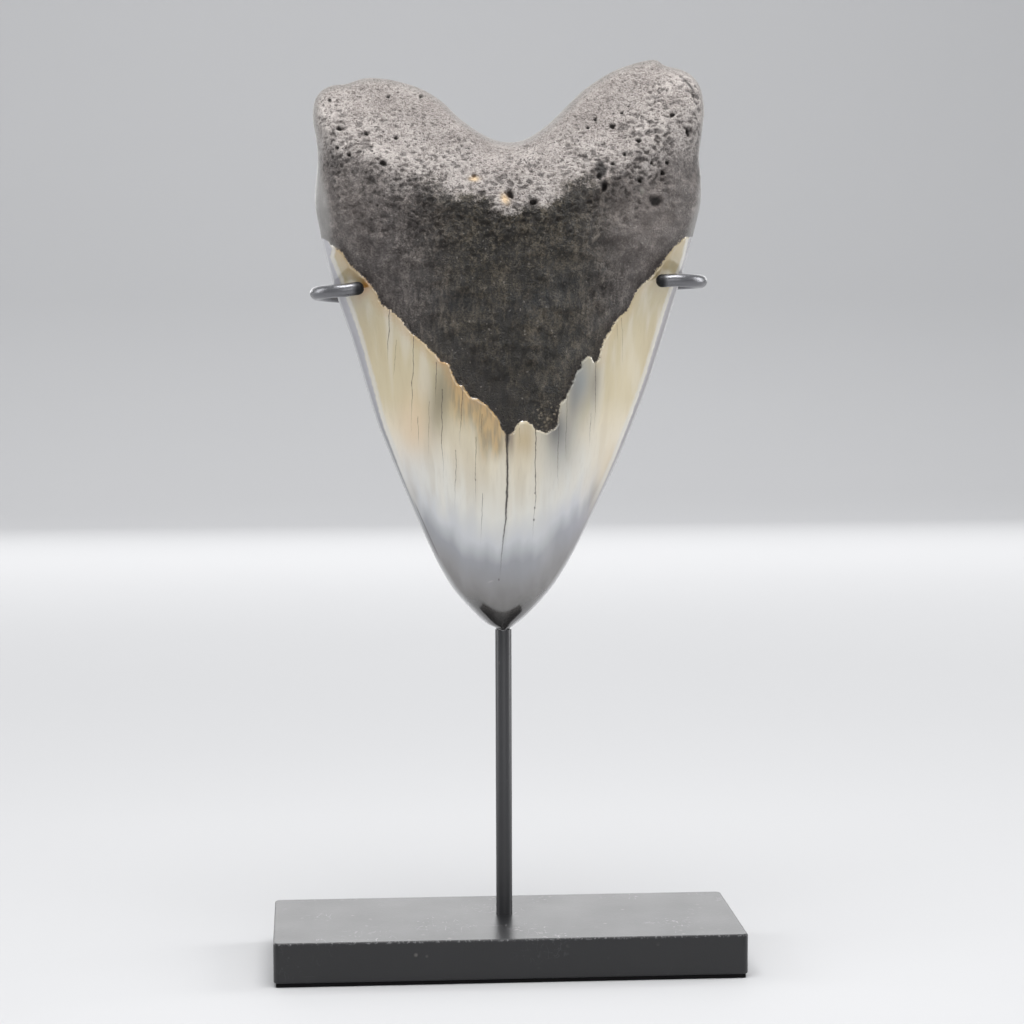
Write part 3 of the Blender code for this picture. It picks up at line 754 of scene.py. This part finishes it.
class Material:
    """A new material. Its x, y and z are places in mm, and its colours are sRGB of 0 to 255."""

    def __init__(self, name):
        self.data = bpy.data.materials.new(name)
        self.data.use_nodes = True
        self.tree = self.data.node_tree
        self.tree.nodes.clear()
        self.output = self.tree.nodes.new("ShaderNodeOutputMaterial")
        self.places = self.node("ShaderNodeTexCoord").outputs["Object"]
        split = self.node("ShaderNodeSeparateXYZ", {}, {"Vector": self.places})
        self.x, self.y, self.z = (Value(self, split.outputs[k]) * 1000 for k in ("X", "Y", "Z"))

    def plug(self, socket, value):
        if isinstance(value, Value):
            value = value.socket
        if isinstance(value, bpy.types.NodeSocket):
            self.tree.links.new(value, socket)
        elif isinstance(value, tuple) and len(value) == 3 and socket.type == "RGBA":
            socket.default_value = (*colour(*value), 1)
        else:
            socket.default_value = value

    def node(self, kind, settings=None, inputs=None):
        node = self.tree.nodes.new(kind)
        for key, value in (settings or {}).items():
            setattr(node, key, value)
        for key, value in (inputs or {}).items():
            self.plug(node.inputs[key], value)
        return node

    def math(self, operation, *values, clamp=False):
        settings = {"operation": operation, "use_clamp": clamp}
        return Value(self, self.node("ShaderNodeMath", settings, dict(enumerate(values))).outputs[0])

    def ease(self, low, high, value):
        """0 below low and 1 above high, or the other way round when low is the greater."""
        ends = (0, 1) if low < high else (1, 0)
        low, high = min(low, high), max(low, high)
        node = self.node(
            "ShaderNodeMapRange",
            {"interpolation_type": "SMOOTHSTEP"},
            {"Value": value, "From Min": low, "From Max": high, "To Min": ends[0], "To Max": ends[1]},
        )
        return Value(self, node.outputs["Result"])

    def attribute(self, name):
        return Value(self, self.node("ShaderNodeAttribute", {"attribute_name": name}).outputs["Fac"])

    def scaled(self, size, stretch, shift):
        """Object coordinates in which one unit is this many mm, stretched along each axis."""
        scale = tuple(1000 / (size * s) for s in stretch)
        inputs = {"Vector": self.places, "Scale": scale, "Location": shift}
        return self.node("ShaderNodeMapping", {}, inputs).outputs["Vector"]

    def noise(self, size, detail=2.0, rough=0.5, stretch=(1, 1, 1), shift=(0, 0, 0), warp=0.0):
        """Noise from 0 to 1 with lumps of this many mm."""
        where = self.scaled(size, stretch, shift)
        inputs = {"Vector": where, "Scale": 1.0, "Detail": detail, "Roughness": rough, "Distortion": warp}
        return Value(self, self.node("ShaderNodeTexNoise", {}, inputs).outputs["Fac"])

    def cells(self, size, shift=(0, 0, 0), warp=0.0):
        """Distance from the nearest of scattered points this many mm apart, where 1 is that spacing."""
        where = self.scaled(size, (1, 1, 1), shift)
        if warp:
            inputs = {"Vector": where, "Scale": 1.6, "Detail": 2.0}
            wobble = self.node("ShaderNodeTexNoise", {}, inputs).outputs["Color"]
            inputs = {0: wobble, 1: (warp, warp, warp), 2: where}
            where = self.node("ShaderNodeVectorMath", {"operation": "MULTIPLY_ADD"}, inputs).outputs[0]
        inputs = {"Vector": where, "Scale": 1.0, "Randomness": 1.0}
        return Value(self, self.node("ShaderNodeTexVoronoi", {}, inputs).outputs["Distance"])

    def mix(self, share, first, second):
        """Two colours mixed by a share from 0 to 1."""
        settings = {"data_type": "RGBA", "clamp_factor": True}
        return self.node("ShaderNodeMix", settings, {"Factor": share, 6: first, 7: second}).outputs[2]

    def mix_shaders(self, share, first, second):
        return self.node("ShaderNodeMixShader", {}, {"Fac": share, 1: first, 2: second}).outputs[0]

    def ramp(self, value, stops):
        """A colour that runs through the stops, each a place from 0 to 1 and its colour."""
        node = self.node("ShaderNodeValToRGB")
        ramp = node.color_ramp
        while len(ramp.elements) < len(stops):
            ramp.elements.new(0.5)
        for element, (place, shade) in zip(ramp.elements, stops):
            element.position = place
            element.color = (*colour(*shade), 1)
        self.plug(node.inputs["Fac"], value)
        return node.outputs["Color"]

    def blob(self, x, z, wide, high, turn=0.0):
        """A soft patch on the front view, 1 at its middle."""
        dx, dz = self.x - x, self.z - z
        if turn:
            c, s = math.cos(math.radians(turn)), math.sin(math.radians(turn))
            dx, dz = dx * c + dz * s, dz * c - dx * s
        far = (dx / wide) ** 2 + (dz / high) ** 2
        return self.math("POWER", math.e, -far)

    def stain(self, shade, patch_list, where=None):
        """The colour with soft patches of other colours laid over it one by one."""
        for x, z, wide, high, turn, strength, tint in patch_list:
            share = self.blob(x, z, wide, high, turn) * strength
            if where is not None:
                share = share * where
            shade = self.mix(share, shade, tint)
        return shade

    def bump(self, height, depth):
        """Height is from 0 to 1, and depth in mm."""
        inputs = {"Height": height, "Distance": depth * MM, "Strength": 1.0}
        return self.node("ShaderNodeBump", {}, inputs).outputs["Normal"]

    def surface(self, **inputs):
        """A Principled shader, with its inputs named in lower case."""
        names = {key.replace("_", " ").title().replace("Ior", "IOR"): value for key, value in inputs.items()}
        return self.node("ShaderNodeBsdfPrincipled", {}, names).outputs["BSDF"]

    def finish(self, surface):
        """Links the shader to the output, and gives the finished material."""
        self.tree.links.new(surface, self.output.inputs["Surface"])
        return self.data


def crack_depth(m, cracks, x):
    """1 in the middle of the nearest split and 0 away from all of them; each narrows downwards."""
    deepest = None
    for wide, line in cracks:
        rising = line[::-1]
        (low_x, low), top = rising[0], rising[-1][1]
        slopes = [(bx - ax) / (bz - az) for (ax, az), (bx, bz) in zip(rising[:-1], rising[1:])]
        centre = (m.z - low) * slopes[0] + low_x
        for (_, bend), before, after in zip(rising[1:-1], slopes[:-1], slopes[1:]):
            centre = centre + (m.z - bend).most(0) * (after - before)
        half = max(wide, 0.2) * 0.5
        fade = (m.z - low).math("DIVIDE", (top - low) * 0.5, clamp=True)
        gap = 1 - abs(x - centre) / (fade * 0.65 * half + 0.35 * half)
        inside = m.math("LESS_THAN", m.z, top)
        part = gap.math("MULTIPLY", inside, clamp=True) * fade ** 0.5 * min(1.0, 0.38 + wide)
        deepest = part if deepest is None else deepest.most(part)
    return deepest


# Patches on the front of the root: (x, z, width, height, turn in degrees, strength, colour). The two pale
# ones at the lobes are partly painted top light, and the near-black one in the V is partly painted shade.
ROOT_PATCHES_AND_PAINTED_LIGHT = [
    (36, 193, 11, 12, 0, 0.5, (142, 132, 126)),
    (-38, 196, 8, 9, 0, 0.35, (136, 126, 120)),
    (0, 145, 15, 14, 0, 0.5, (14, 11, 8)),
    (9, 172, 9, 3, 20, 0.35, (52, 57, 64)),
    (-13, 171, 8, 2.5, -15, 0.3, (52, 57, 64)),
]


def root_shader(m, below, over, strip, fine):
    """Root: pale and wrinkled over the ridge, dark under it, and greyer towards the sides; the pale top and
    dark underside are partly the root's own colour and partly painted top light and painted shade.
    """
    relief, hole, edge, face = (m.attribute(name) for name in ("relief", "hole", "edge", "face"))
    patch = m.noise(7, 3, 0.6)
    crease = 1 - abs(m.noise(0.7, 4, 0.62, (1.1, 1, 0.95), (4, 2, 0), 0.6) - 0.5) * 5
    aside = m.x - 3
    flank = m.ease(12, 33, abs(aside))
    rise = m.z - 193.4 - abs(aside) * 0.405 - aside * 0.045 + (patch - 0.5) * 15 + (fine - 0.5) * 6
    upper = m.ease(-1.0, 1.0, rise / (1.8 + flank * 5) + flank * 0.3)
    tone = crease * 0.3 + fine * 0.45 + patch * 0.35
    shade_high = m.ramp(tone, [(0.32, (70, 62, 58)), (0.5, (138, 129, 124)), (0.74, (200, 192, 187))])
    grain = m.noise(1.0, 3, 0.65, shift=(6, 6, 6))
    drips = m.noise(0.8, 3, 0.6, (1, 1, 4.5))
    folds = m.noise(2.6, 2, 0.6, (1, 1, 2.4), (3, 3, 3))
    streaked = m.ease(190, 168, m.z) * (flank * 0.4 + 0.6)
    grain = grain + (drips - grain) * streaked
    tone_low = grain * 0.5 + fine * 0.4 + crease * 0.1 + folds * 0.4 - 0.12
    shade_low = m.ramp(tone_low, [(0.4, (14, 11, 6)), (0.57, (36, 31, 23)), (0.78, (112, 102, 86))])
    side_low = m.ramp(tone_low, [(0.4, (52, 46, 44)), (0.58, (92, 85, 82)), (0.78, (156, 147, 142))])
    shade_low = m.mix(flank * m.ease(152, 172, m.z) * 0.92, shade_low, side_low)
    # patches from the table: painted top light at the lobes and painted shade in the V, partly the root's own
    # colour
    shade_low = m.stain(shade_low, ROOT_PATCHES_AND_PAINTED_LIGHT)
    # painted top light and shade: the pale colours over the ridge and the dark ones under it, partly the
    # root's own colour
    shade = m.mix(upper, shade_low, shade_high)
    # painted highlight along the lower edge of the crest near the middle
    lip_highlight = m.ease(1.7, 0.2, abs(rise)) * m.ease(24, 12, abs(aside)) * m.ease(0.2, 0.7, crease)
    shade = m.mix(lip_highlight * 0.45, shade, (164, 156, 148))
    # painted shadow on the root just above the enamel's ledge
    shade = m.mix(m.ease(-2.2, -0.8, below + (patch - 0.5) * 2) * 0.4, shade, (44, 36, 34))
    # painted shade in the hollows of the relief
    shade = m.mix(m.ease(0.0, -0.2, relief) * 0.55, shade, (40, 35, 32))
    # painted highlight on the relief's ridges, only over the ridge where the top light falls
    shade = m.mix(m.ease(0.03, 0.14, relief) * 0.4 * upper, shade, (206, 199, 193))
    # painted shade: the top-facing parts high above the ridge are darkened to tone down the light there
    shade = m.mix(m.ease(9, 19, over) * 0.3, shade, (116, 108, 103))
    # painted glints: small pale specks standing in for highlights
    painted_glints = m.ease(0.15, 0.07, m.cells(2.1, shift=(8, 1, 5), warp=0.6)) * m.ease(2, -8, over)
    shade = m.mix(painted_glints * 0.45, shade, (158, 150, 141))
    dots = m.ease(0.22, 0.1, m.cells(1.15, shift=(3, 1, 2), warp=0.7)) * m.ease(-16, 2, over)
    shade = m.mix(dots * m.ease(0.42, 0.56, patch) * 0.8, shade, (30, 25, 22))
    crumbs = m.blob(10.8, 142.4, 3.6, 4.0) * face
    crumbs = crumbs * m.ease(0.46, 0.16, m.cells(1.0, shift=(1, 2, 1), warp=0.6))
    shade = m.mix(crumbs * 0.95, shade, (150, 138, 118))
    # painted edge light: a smooth grey band along the root's top outline stands in for the grazing reflection
    # seen there
    rim_light_band = m.ease(2.2, 0.4, edge) * m.ease(198, 206, m.z)
    shade = m.mix(rim_light_band * 0.55, shade, (104, 102, 98))
    shade = m.mix(m.ease(-2.0, 0.5, strip) * 0.85, shade, (134, 132, 129))
    # painted shade in the vein holes, darker in deeper ones, and a dark crack drawn at the right lobe's top
    # edge
    hole_shade_and_crack = m.ease(0.05, 0.55, hole).most(m.blob(47.4, 225.8, 0.4, 2.8, 37) * face)
    shade = m.mix(hole_shade_and_crack * 0.88, shade, (24, 20, 17))
    orange = m.blob(-8.0, 201.8, 1.1, 0.6).most(m.blob(-0.5, 196.7, 0.9, 1.3, 20)) * 1.3
    orange = orange * face * m.ease(0.25, 0.45, fine)
    shade = m.mix(orange * 0.95, shade, (234, 206, 168))
    shade = m.mix(m.blob(34.4, 198.6, 0.5, 0.6) * face * 0.95, shade, (236, 230, 220))
    calm = m.ease(-2.5, -0.2, strip).most(rim_light_band * 0.5) * 0.85
    height = crease * 0.4 + fine * 0.6 + grain * 0.4 - dots * 0.4
    normal = m.bump(height * (1 - calm), 0.62)
    gloss = 0.3 + 0.2 * patch
    return m.surface(base_color=shade, roughness=gloss, normal=normal, specular_ior_level=0.6)


# Stains in the front enamel, with a painted highlight and painted shade beside the middle split among them,
# given in the same way.
ENAMEL_STAINS_AND_PAINTED_LIGHT = [
    (-23, 139, 4.5, 9, 0, 0.75, (226, 198, 160)),
    (27, 130, 4.5, 10, -12, 0.75, (228, 210, 176)),
    (-39, 172, 3.5, 5, 0, 0.5, (150, 142, 122)),
    # painted shade at the top of the middle split
    (0.5, 140.2, 1.5, 2.8, 0, 0.8, (78, 66, 54)),
    (31, 150, 3.5, 11, -16, 0.6, (220, 206, 172)),
    # painted highlight: a soft pale patch on the left of the crown
    (-22, 127, 5, 6, 0, 0.5, (218, 218, 214)),
    (-16.6, 147, 2.8, 10, -8, 0.8, (128, 119, 92)),
    (-27, 152, 3, 8, -18, 0.4, (210, 196, 160)),
    (-15.4, 156.4, 1.6, 1.2, 0, 0.85, (196, 146, 92)),
    (-34.9, 175.6, 1.3, 3.4, -32, 0.95, (166, 112, 46)),
    # painted shadow beside the middle split
    (1.2, 137, 0.8, 4.5, 0, 0.7, (112, 98, 92)),
    (4.4, 136, 2.9, 4.5, 0, 0.6, (186, 158, 108)),
    (18.8, 150.5, 3.7, 8.5, -6, 0.9, (134, 140, 142)),
    (17.3, 147, 1.4, 6, -4, 0.6, (112, 112, 110)),
    (14, 136, 5, 9, -6, 0.75, (142, 145, 146)),
    (12.6, 139, 2.4, 4.6, 0, 0.85, (88, 87, 84)),
    (22.8, 150, 1.4, 6, -4, 0.55, (112, 108, 100)),
    (20.5, 115.5, 7, 6, -28, 0.3, (184, 184, 196)),
    (10.5, 113, 2, 8, 0, 0.4, (198, 198, 198)),
]

# Shades of the enamel from the tip to the root: (share of the way up, colour). The near-black stops at the
# tip are partly the enamel's own dark tone and partly a painted reflection of the stand's black base.
ENAMEL_BANDS = [
    (0.0, (30, 28, 27)), (0.05, (44, 42, 41)), (0.09, (97, 94, 91)), (0.13, (128, 126, 127)),
    (0.18, (146, 148, 153)), (0.23, (203, 205, 208)), (0.3, (228, 226, 217)), (0.42, (230, 220, 196)),
    (0.55, (210, 196, 160)), (0.72, (202, 188, 152)), (0.88, (190, 177, 142)), (1.0, (180, 168, 136)),
]


def enamel_shader(m, below, strip, fine):
    """Polished enamel: tan and amber near the root, grey and bluish towards the tip, with a painted dark
    reflection at the tip and painted highlights along its edges.
    """
    x, z, edge, face = m.x, m.z, m.attribute("edge"), m.attribute("face")
    cloud = m.noise(6, 2, 0.5, (1, 1, 3.0))
    veil = m.noise(3.4, 1, 0.4, (1, 1, 10), shift=(2, 5, 1))
    hair = m.noise(0.55, 1, 0.5, (1, 1, 40))
    off = x + 1
    # the bands rise towards the sides, which gives the painted dark reflection at the tip its curved top edge
    height = z - off * off * 0.03 * m.ease(152, 126, z)
    height = (height + (cloud - 0.5) * 9 + (veil - 0.5) * 8 * m.ease(104, 122, z) - 85) / 105
    shade = m.ramp(height, ENAMEL_BANDS)
    streaky = m.ease(112, 126, z)
    left = m.math("LESS_THAN", x, 0)
    shade = m.mix(m.ease(0.46, 0.7, veil) * 0.45 * streaky, shade, (226, 220, 206))
    shade = m.mix(m.ease(0.5, 0.3, veil) * 0.3 * streaky, shade, (188, 168, 130))
    shade = m.mix(m.ease(0.5, 0.3, hair) * 0.07 * streaky, shade, (140, 124, 100))
    # the table's patches, among them a painted highlight and painted shade by the middle split
    shade = m.stain(shade, ENAMEL_STAINS_AND_PAINTED_LIGHT, face)
    amber = m.ease(9.0, 3.0, below + (veil - 0.5) * 7) * m.ease(-16.5, -12.5, x) * m.ease(1.0, -2.4, x)
    threads = m.ease(0.36, 0.64, m.noise(0.8, 2, 0.5, (1, 1, 9)))
    ochre = m.mix(threads, (140, 118, 74), (194, 156, 92))
    shade = m.mix(amber * face * 0.78, shade, ochre)
    warm = m.ease(3.0, 0.3, below + (fine - 0.5) * 2) * m.ease(134, 146, z) * m.ease(9, 13, abs(x - 12.5))
    shade = m.mix(warm * 0.34, shade, m.mix(left, (202, 176, 128), (188, 142, 76)))
    # painted highlight on the enamel's upper edge at the arch of the line
    lip_highlight = m.ease(0.5, 0.0, below) * m.ease(0.4, 0.62, fine) * m.ease(0.5, 2, x) * m.ease(150, 140, z)
    shade = m.mix(lip_highlight * 0.8, shade, (222, 210, 188))

    worn_left = m.mix(m.ease(126, 152, z), (136, 137, 139), (168, 167, 172))
    grey = m.mix(left, (162, 159, 161), worn_left)
    shade = m.mix(m.ease(-0.25, 0.2, strip), shade, grey)
    # painted highlight along the inner edge of the worn strip, where the bevel meets the face
    inner_crease_highlight = m.ease(0.9, 0.1, abs(strip + 0.5)) * m.ease(112, 130, z) * m.ease(188.5, 186, z)
    shade = m.mix(inner_crease_highlight * 0.7, shade, (216, 214, 208))
    # painted highlight along the cutting edge
    shade = m.mix(m.ease(0.55, 0.15, edge) * 0.8, shade, (212, 212, 212))
    # painted highlight on the edges beside the dark tip
    tip_edge_highlight = m.ease(1.5, 0.3, edge) * m.ease(112, 100, z) * m.ease(2.0, 4.0, abs(x + 1))
    shade = m.mix(tip_edge_highlight * 0.6, shade, (190, 190, 192))
    dark_line = m.ease(0.22, 0.08, abs(edge - 0.95)) * left * m.ease(104, 107, z) * m.ease(121, 117, z)
    shade = m.mix(dark_line * 0.6, shade, (70, 68, 70))

    wander = x + (m.noise(3.5, 2, 0.6, (1, 1, 1.4), (7, 7, 7)) - 0.5) * 0.9 + (fine - 0.5) * 0.35
    wide_lines = [(wide, line) for wide, _, line in WIDE_SPLITS]
    front_gap = crack_depth(m, wide_lines + FRONT_CRACKS, wander)
    for knot_x, knot_z, size in CRACK_KNOTS:
        front_gap = front_gap.most(m.blob(knot_x, knot_z, size * 0.6, size) * 0.8)
    back_gap = crack_depth(m, BACK_CRACKS, wander) * (1 - face)
    gap = (front_gap * face).most(back_gap)
    stain = m.mix(m.ease(104, 136, z), (96, 92, 90), (66, 52, 40))
    shade = m.mix(m.ease(0.03, 0.7, gap) * 0.8, shade, stain)
    shade = m.mix(m.blob(-3.9, 99.7, 0.7, 0.2, 20) * face * 0.3, shade, (186, 182, 176))
    normal = m.bump(0.5 + 0.03 * hair * streaky + 0.3 * cloud, 0.1)
    polished = m.surface(
        base_color=shade, roughness=0.14, normal=normal, ior=1.95, coat_weight=1.0, coat_roughness=0.03
    )
    split = m.surface(base_color=(34, 29, 25), roughness=0.8, specular_ior_level=0.2)
    opening = m.ease(0.45, 0.95, gap) * 0.85
    return m.mix_shaders(opening, polished, split)


def tooth_material():
    m = Material("fossil_root_and_enamel")
    below, over, strip = (m.attribute(name) for name in ("below_line", "over_crest", "strip"))
    fine = m.noise(0.45, 3, 0.6)
    root = root_shader(m, below, over, strip, fine)
    enamel = enamel_shader(m, below, strip, fine)
    mask = m.ease(-0.1, 0.1, below + (fine - 0.5) * 0.7)
    return m.finish(m.mix_shaders(mask, root, enamel))


def worn_coat(m):
    """Thin scratches and specks on the base's top, and rubbed spots along its edges."""
    where = m.ease(0.5, 0.62, m.noise(17, 2, 0.5, shift=(3, 3, 3)))
    marks = m.ease(0.016, 0.0, abs(m.noise(6, 1, 0.4, (0.5, 2.2, 1)) - 0.5))
    across = m.noise(5, 2, 0.5, (2.4, 0.6, 1), (5, 1, 1), 0.4)
    marks = marks.most(m.ease(0.012, 0.0, abs(across - 0.47)))
    marks = marks * where * m.ease(0.45, 0.6, m.noise(2.2, 2, 0.6, shift=(1, 4, 1)))
    specks = m.ease(0.14, 0.07, m.cells(2.6, shift=(1, 1, 1))) * where
    marks = marks.most(specks) * (m.ease(BASE_TOP - 0.3, BASE_TOP - 0.05, m.z) * 0.95 + 0.05)
    border = (BASE_WIDTH / 2 - abs(m.x)).least(BASE_DEPTH / 2 - abs(m.y))
    rub = m.ease(0.5, 0.2, border) * m.ease(BASE_TOP - 0.7, BASE_TOP - 0.3, m.z)
    rub = rub * m.ease(0.5, 0.66, m.noise(0.8, 3, 0.6)) * 0.5
    return marks.most(rub)


def black_coat(name, tone, rough, grain, worn=False, metal=0.0, shaded_arm_tips=False):
    """Satin black coat, with fine orange peel and a little dust; rods are darker towards the foot, and the
    arms' ends can take painted shade.
    """
    m = Material(name)
    peel = m.noise(grain, 2, 0.5)
    cloud = m.noise(14, 3, 0.6)
    dust = m.ease(0.16, 0.05, m.cells(4.5, shift=(2, 3, 4))) * m.ease(0.5, 0.62, cloud)
    shade = m.mix(cloud, tuple(c - 6 for c in tone), tone)
    shade = m.mix(dust * 0.5, shade, (128, 124, 118))
    gloss = rough + 0.08 * cloud
    if worn:
        marks = worn_coat(m)
        shade = m.mix(marks * 0.55, shade, (206, 204, 206))
        gloss = gloss + 0.25 * marks
    else:
        shade = m.mix(m.ease(64, 12, m.z) * 0.4, shade, (24, 24, 25))
    if shaded_arm_tips:
        # painted shade on the arms' rounded ends
        tip_shade = m.ease(-39.0, -37.2, m.x) * m.ease(41.8, 40.0, m.x) * m.ease(-1, -3, m.y)
        shade = m.mix(tip_shade * 0.9, shade, (22, 22, 23))
        gloss = gloss + tip_shade * 0.3
    normal = m.bump(peel, 0.06 if metal else 0.03)
    return m.finish(m.surface(base_color=shade, roughness=gloss, metallic=metal, normal=normal))


def felt():
    m = Material("pad_felt")
    fibres = m.noise(0.25, 4, 0.7)
    shade = m.mix(fibres, (14, 14, 15), (38, 37, 38))
    normal = m.bump(fibres, 0.1)
    return m.finish(m.surface(base_color=shade, roughness=0.95, normal=normal, specular_ior_level=0.1))


def dress(piece, node, material):
    """Gives a piece its material, and puts it in the place of a solid of the frame."""
    piece.data.materials.clear()
    piece.data.materials.append(material)
    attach(piece, "root")
    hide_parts(node)


dress(tooth, "tooth", tooth_material())
base_coat = black_coat("base_black_coat", (33, 33, 35), 0.29, 0.5, worn=True)
rod_coat = black_coat("post_black_coat", (60, 60, 62), 0.32, 0.3)
arm_coat = black_coat("arm_black_coat", (122, 122, 125), 0.2, 0.3, metal=0.8, shaded_arm_tips=True)
dress(base, "base", base_coat)
for rod, node, coat in (
    (post, "post", rod_coat), (back_rod, "back_rod", rod_coat),
    (arm_left, "arm_left", arm_coat), (arm_right, "arm_right", arm_coat),
):
    dress(rod, node, coat)
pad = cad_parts["base_pad"]
pad.data.materials.clear()
pad.data.materials.append(felt())


# Floor, lights and camera


def pale_paint(name, shade):
    m = Material(name)
    soft = m.noise(300, 2)
    tone = m.mix(soft, tuple(c - 3 for c in shade), shade)
    return m.finish(m.surface(base_color=tone, roughness=0.85, specular_ior_level=0.2))


def build_cove():
    """A pale floor that sweeps up into a wall behind."""
    deselect()
    bpy.ops.mesh.primitive_plane_add(size=1, location=(0, -0.1, 0))
    cove = name_new("floor")
    cove.scale = (4, 3, 1)
    settle(cove)
    select_edges(cove, lambda a, b: min(a.y, b.y) > 1300)
    radius = 0.6
    for k in range(12):
        low, high = math.pi / 24 * k, math.pi / 24 * (k + 1)
        step = (0, radius * (math.sin(high) - math.sin(low)), radius * (math.cos(low) - math.cos(high)))
        bpy.ops.mesh.extrude_region_move(TRANSFORM_OT_translate={"value": step})
    bpy.ops.mesh.extrude_region_move(TRANSFORM_OT_translate={"value": (0, 0, 2.2)})
    bpy.ops.object.mode_set(mode="OBJECT")
    only(cove)
    bpy.ops.object.shade_smooth()
    cove.data.materials.append(pale_paint("floor_pale", (208, 208, 209)))


build_cove()
scene = bpy.context.scene
world = bpy.data.worlds.new("studio")
scene.world = world
world.use_nodes = True
sky = world.node_tree.nodes["Background"].inputs
sky["Color"].default_value = (0.92, 0.94, 0.97, 1)
sky["Strength"].default_value = 0.48


def softbox(name, place, aim, width, height, power):
    lamp = bpy.data.lights.new(name, "AREA")
    lamp.shape = "RECTANGLE"
    lamp.size = width
    lamp.size_y = height
    lamp.energy = power
    box = bpy.data.objects.new(name, lamp)
    scene.collection.objects.link(box)
    box.location = place
    box.rotation_euler = (Vector(aim) - Vector(place)).to_track_quat("-Z", "Y").to_euler()
    box.visible_camera = False


softbox("top_box", (0, -0.1, 0.5), (0, 0, 0.2), 0.34, 0.2, 1.7)
softbox("left_box", (-1.2, 0.24, 0.5), (0, 0, 0.15), 0.5, 0.95, 5.2)
softbox("right_box", (1.2, 0.2, 0.5), (0, 0, 0.15), 0.5, 0.95, 7.8)
softbox("front_box", (0.1, -1.5, 0.45), (0, 0, 0.14), 0.9, 0.7, 2.4)
softbox("back_box", (0, 1.5, 0.8), (0, 0, 0.1), 1.8, 0.8, 3.5)
softbox("low_box", (0, 1.2, 0.3), (0, 0, 0.02), 1.6, 0.22, 2.6)
softbox("wall_box", (0, 0.9, 1.5), (0, 1.9, 0.3), 1.6, 0.4, 7)

IMAGE_WIDTH_PX = 1024
FOCAL_LENGTH_PX = 2804.4
DOWN, TO_THE_RIGHT, ROLL = 4.89, 4.17, 0.18
camera_data = bpy.data.cameras.new("camera")
camera_data.sensor_width = 36
camera_data.lens = FOCAL_LENGTH_PX / IMAGE_WIDTH_PX * camera_data.sensor_width
camera = bpy.data.objects.new("camera", camera_data)
scene.collection.objects.link(camera)
camera.location = (-0.0502, -0.7168, 0.1785)
camera.rotation_mode = "XYZ"
camera.rotation_euler = (math.radians(90 - DOWN), 0, math.radians(-TO_THE_RIGHT))
camera.rotation_euler.rotate_axis("Z", math.radians(-ROLL))
scene.camera = camera
scene.view_settings.view_transform = "Standard"
scene.view_settings.look = "None"
